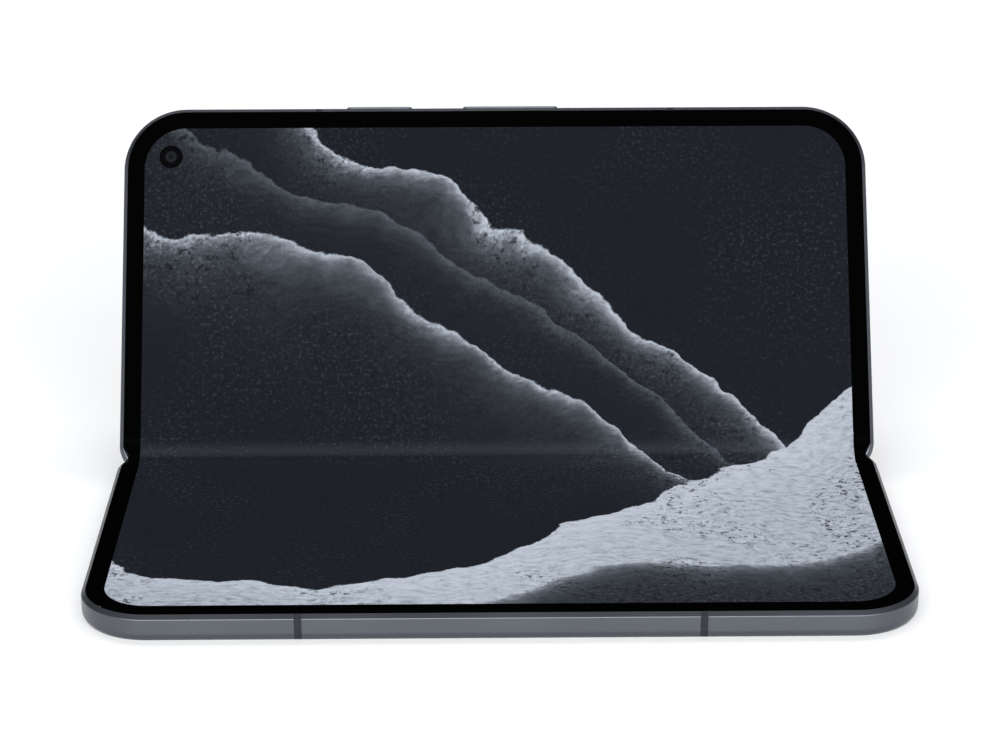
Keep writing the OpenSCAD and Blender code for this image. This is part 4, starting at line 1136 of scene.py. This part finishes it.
usb_w, usb_h, usb_wall, usb_len, usb_back, mouth_in = 8.9, 3.1, 0.3, 7, 0.8, 0.2
socket_x0, socket_x1 = side_x - mouth_in - usb_len, side_x - mouth_in
shell_steel = brushed("socket_steel", (0.46, 0.47, 0.49), 0.3, (300, 5000, 5000), 0.08)
shell = eased(extruded(slot(port_s, -usb_z, usb_w, usb_h), socket_x0, socket_x1, "x"), 0.08)
hollow = slot(port_s, -usb_z, usb_w - 2 * usb_wall, usb_h - 2 * usb_wall)
hollow = extruded(hollow, socket_x0 + usb_back, side_x + past, "x")
fitted(carve(shell, [hollow]), "socket_shell", "upper", shell_steel, ["usb_c_port"])
tongue_black = grained("tongue_black", (0.018, 0.018, 0.019), 0.45, tone=0.1, grains=12000)
tongue_x1, tongue_w, tongue_t = side_x - 1, 3.35, 0.35
tongue = block((socket_x0 + 0.4, port_s - tongue_w, -usb_z - tongue_t),
               (tongue_x1, port_s + tongue_w, -usb_z + tongue_t))
fitted(eased(tongue, 0.12), "socket_tongue", "upper", tongue_black)
contact_size, contact_pitch = (3.6, 0.26), 0.5
contacts = [(tongue_x1 - 2.4, port_s + contact_pitch * (k - 5.5)) for k in range(12)]
for side, low in (("face", -usb_z + tongue_t), ("back", -usb_z - tongue_t - gold_t)):
    fitted(pads(contacts, contact_size, low, low + gold_t), "socket_contacts_" + side, "upper", gold)
dress(brushed("reader_sheet", (0.52, 0.53, 0.54), 0.32, (700, 700, 5000), 0.06), "card_reader")

# ---------------------------------------------------------------- batteries
# Two flat pouch cells are glued to the webs. Each is wrapped in black film that shows a
# paler folded seam round its edge.

wrap, tree, shader, fed = grain_shader(
    "pouch_film", (0.022, 0.023, 0.026), 0.38, tone=0.12, grains=6000, coat=0.3, coat_roughness=0.25)
spot = add(tree, "TexCoord").outputs["Object"]
cells = add(tree, "TexVoronoi", {"Vector": spot, "Scale": 260}, feature="DISTANCE_TO_EDGE")
creases = span(tree, cells.outputs["Distance"], 0.0, 0.12)
tree.links.new(relief(tree, creases, 0.00004, 0.4), shader.inputs["Normal"])
across = add(tree, "SeparateXYZ", {0: add(tree, "TexCoord").outputs["Generated"]}).outputs["X"]
edge = calc(tree, "GREATER_THAN", calc(tree, "ABSOLUTE", calc(tree, "SUBTRACT", across, 0.5)), 0.47)
film = either(tree, edge, fed["Colour"], (0.16, 0.165, 0.17, 1))
tree.links.new(film, shader.inputs["Base Color"])
dress(wrap, "battery_lower", "battery_upper")

# ---------------------------------------------------------------- boards
# The circuit boards are screwed to the webs: green solder mask over copper tracks, with
# gilded pads. Soldered sheet steel screens the main chips.

board_print, given, gives = new_group(
    "board_print",
    [("Mask", "Color", (0.012, 0.075, 0.040, 1)), ("Track", "Color", (0.022, 0.125, 0.066, 1)),
     ("Pad", "Color", (0.60, 0.42, 0.16, 1)), ("Tracks per metre", "Float", 900.0)],
    [("Colour", "Color"), ("Height", "Float"), ("Metal", "Float")])
spot = add(board_print, "TexCoord").outputs["Object"]
runs = add(board_print, "TexVoronoi", {"Vector": spot, "Scale": given["Tracks per metre"]},
           distance="CHEBYCHEV", feature="F1")
cell = add(board_print, "SeparateColor", {0: runs.outputs["Color"]}).outputs
track = span(board_print, runs.outputs["Distance"], 0.40, 0.43)
pad = calc(board_print, "MULTIPLY", calc(board_print, "LESS_THAN", runs.outputs["Distance"], 0.22),
           calc(board_print, "GREATER_THAN", cell[0], 0.6))
mask = either(board_print, track, given["Mask"], given["Track"])
gilded = either(board_print, pad, mask, given["Pad"])
board_print.links.new(gilded, gives["Colour"])
board_print.links.new(calc(board_print, "MAXIMUM", track, pad), gives["Height"])
board_print.links.new(pad, gives["Metal"])

board_finish, tree = new_material("solder_mask")
fed = use(tree, board_print)
shaded(tree, {"Base Color": fed["Colour"], "Roughness": 0.32, "Metallic": fed["Metal"],
              "Normal": relief(tree, fed["Height"], 0.00003, 0.5)})
dress(board_finish, "main_board", "lower_board", "charging_board")
dress(brushed("shield_steel", (0.55, 0.56, 0.57), 0.36, (1200, 1200, 1200), 0.05, 0.08), "board_shield")
dress(grained("chip_black", (0.016, 0.016, 0.018), 0.48, tone=0.15, grains=15000), "processor")

# ---------------------------------------------------------------- charging coil
# A flat spiral of enamelled copper wire, wound round an open middle and glued down
# between the upper battery and the back glass.

wire = brushed("enamelled_copper", (0.55, 0.26, 0.11), 0.3, (3000, 3000, 3000), 0.12)
main_board_w, wing_len, side_room = 24.5, 5.4, 31.6
flex_room, switch_t = 0.25 + 0.1, 0.3
battery_x0 = island_x + island_w / 2 + 1.5 + main_board_w + 2.5
coil_x, coil_r, coil_t = (battery_x0 + side_x - side_room) / 2, 22, 0.35
inside_s0, inside_s1 = back_strip + wing_len + 1.4, flange_s - flange_t - flex_room - switch_t - 0.7
wire_turns, coil_low = 22, -upper_floor
pitch = coil_r / 2 / wire_turns
crests = []
for k in range(wire_turns):
    r = coil_r / 2 + pitch * k
    crests += [(r, coil_low + 0.08), (r + pitch * 0.25, coil_low), (r + pitch * 0.75, coil_low)]
coil = lathed([
    (coil_r, coil_low + coil_t), (coil_r / 2, coil_low + coil_t), *crests, (coil_r, coil_low + 0.08),
    (coil_r, coil_low + coil_t)], coil_x, (inside_s0 + inside_s1) / 2, 96)
fitted(coil, "wound_coil", "upper", wire, ["charging_coil"])

# ---------------------------------------------------------------- speakers, motor and cameras' boxes
# Moulded plastic boxes hold the speakers. The vibration motor and the backing plates of
# the screen are stainless steel sheet, and the front cameras have black housings.

dress(grained("speaker_plastic", (0.024, 0.025, 0.027), 0.5, tone=0.12, grains=7000, depth=0.00002),
      "cover_earpiece", "lower_speaker", "top_speaker", "bottom_speaker")
dress(brushed("motor_steel", (0.55, 0.56, 0.58), 0.28, (200, 6000, 6000), 0.08), "haptic_motor")
dress(brushed("backing_plate", (0.10, 0.10, 0.11), 0.42, (120, 7000, 7000), 0.1), "lower_support_plate",
      "upper_support_plate")
dress(grained("camera_housing", (0.014, 0.014, 0.016), 0.46, tone=0.12, grains=11000), "cover_camera",
      "inner_camera")
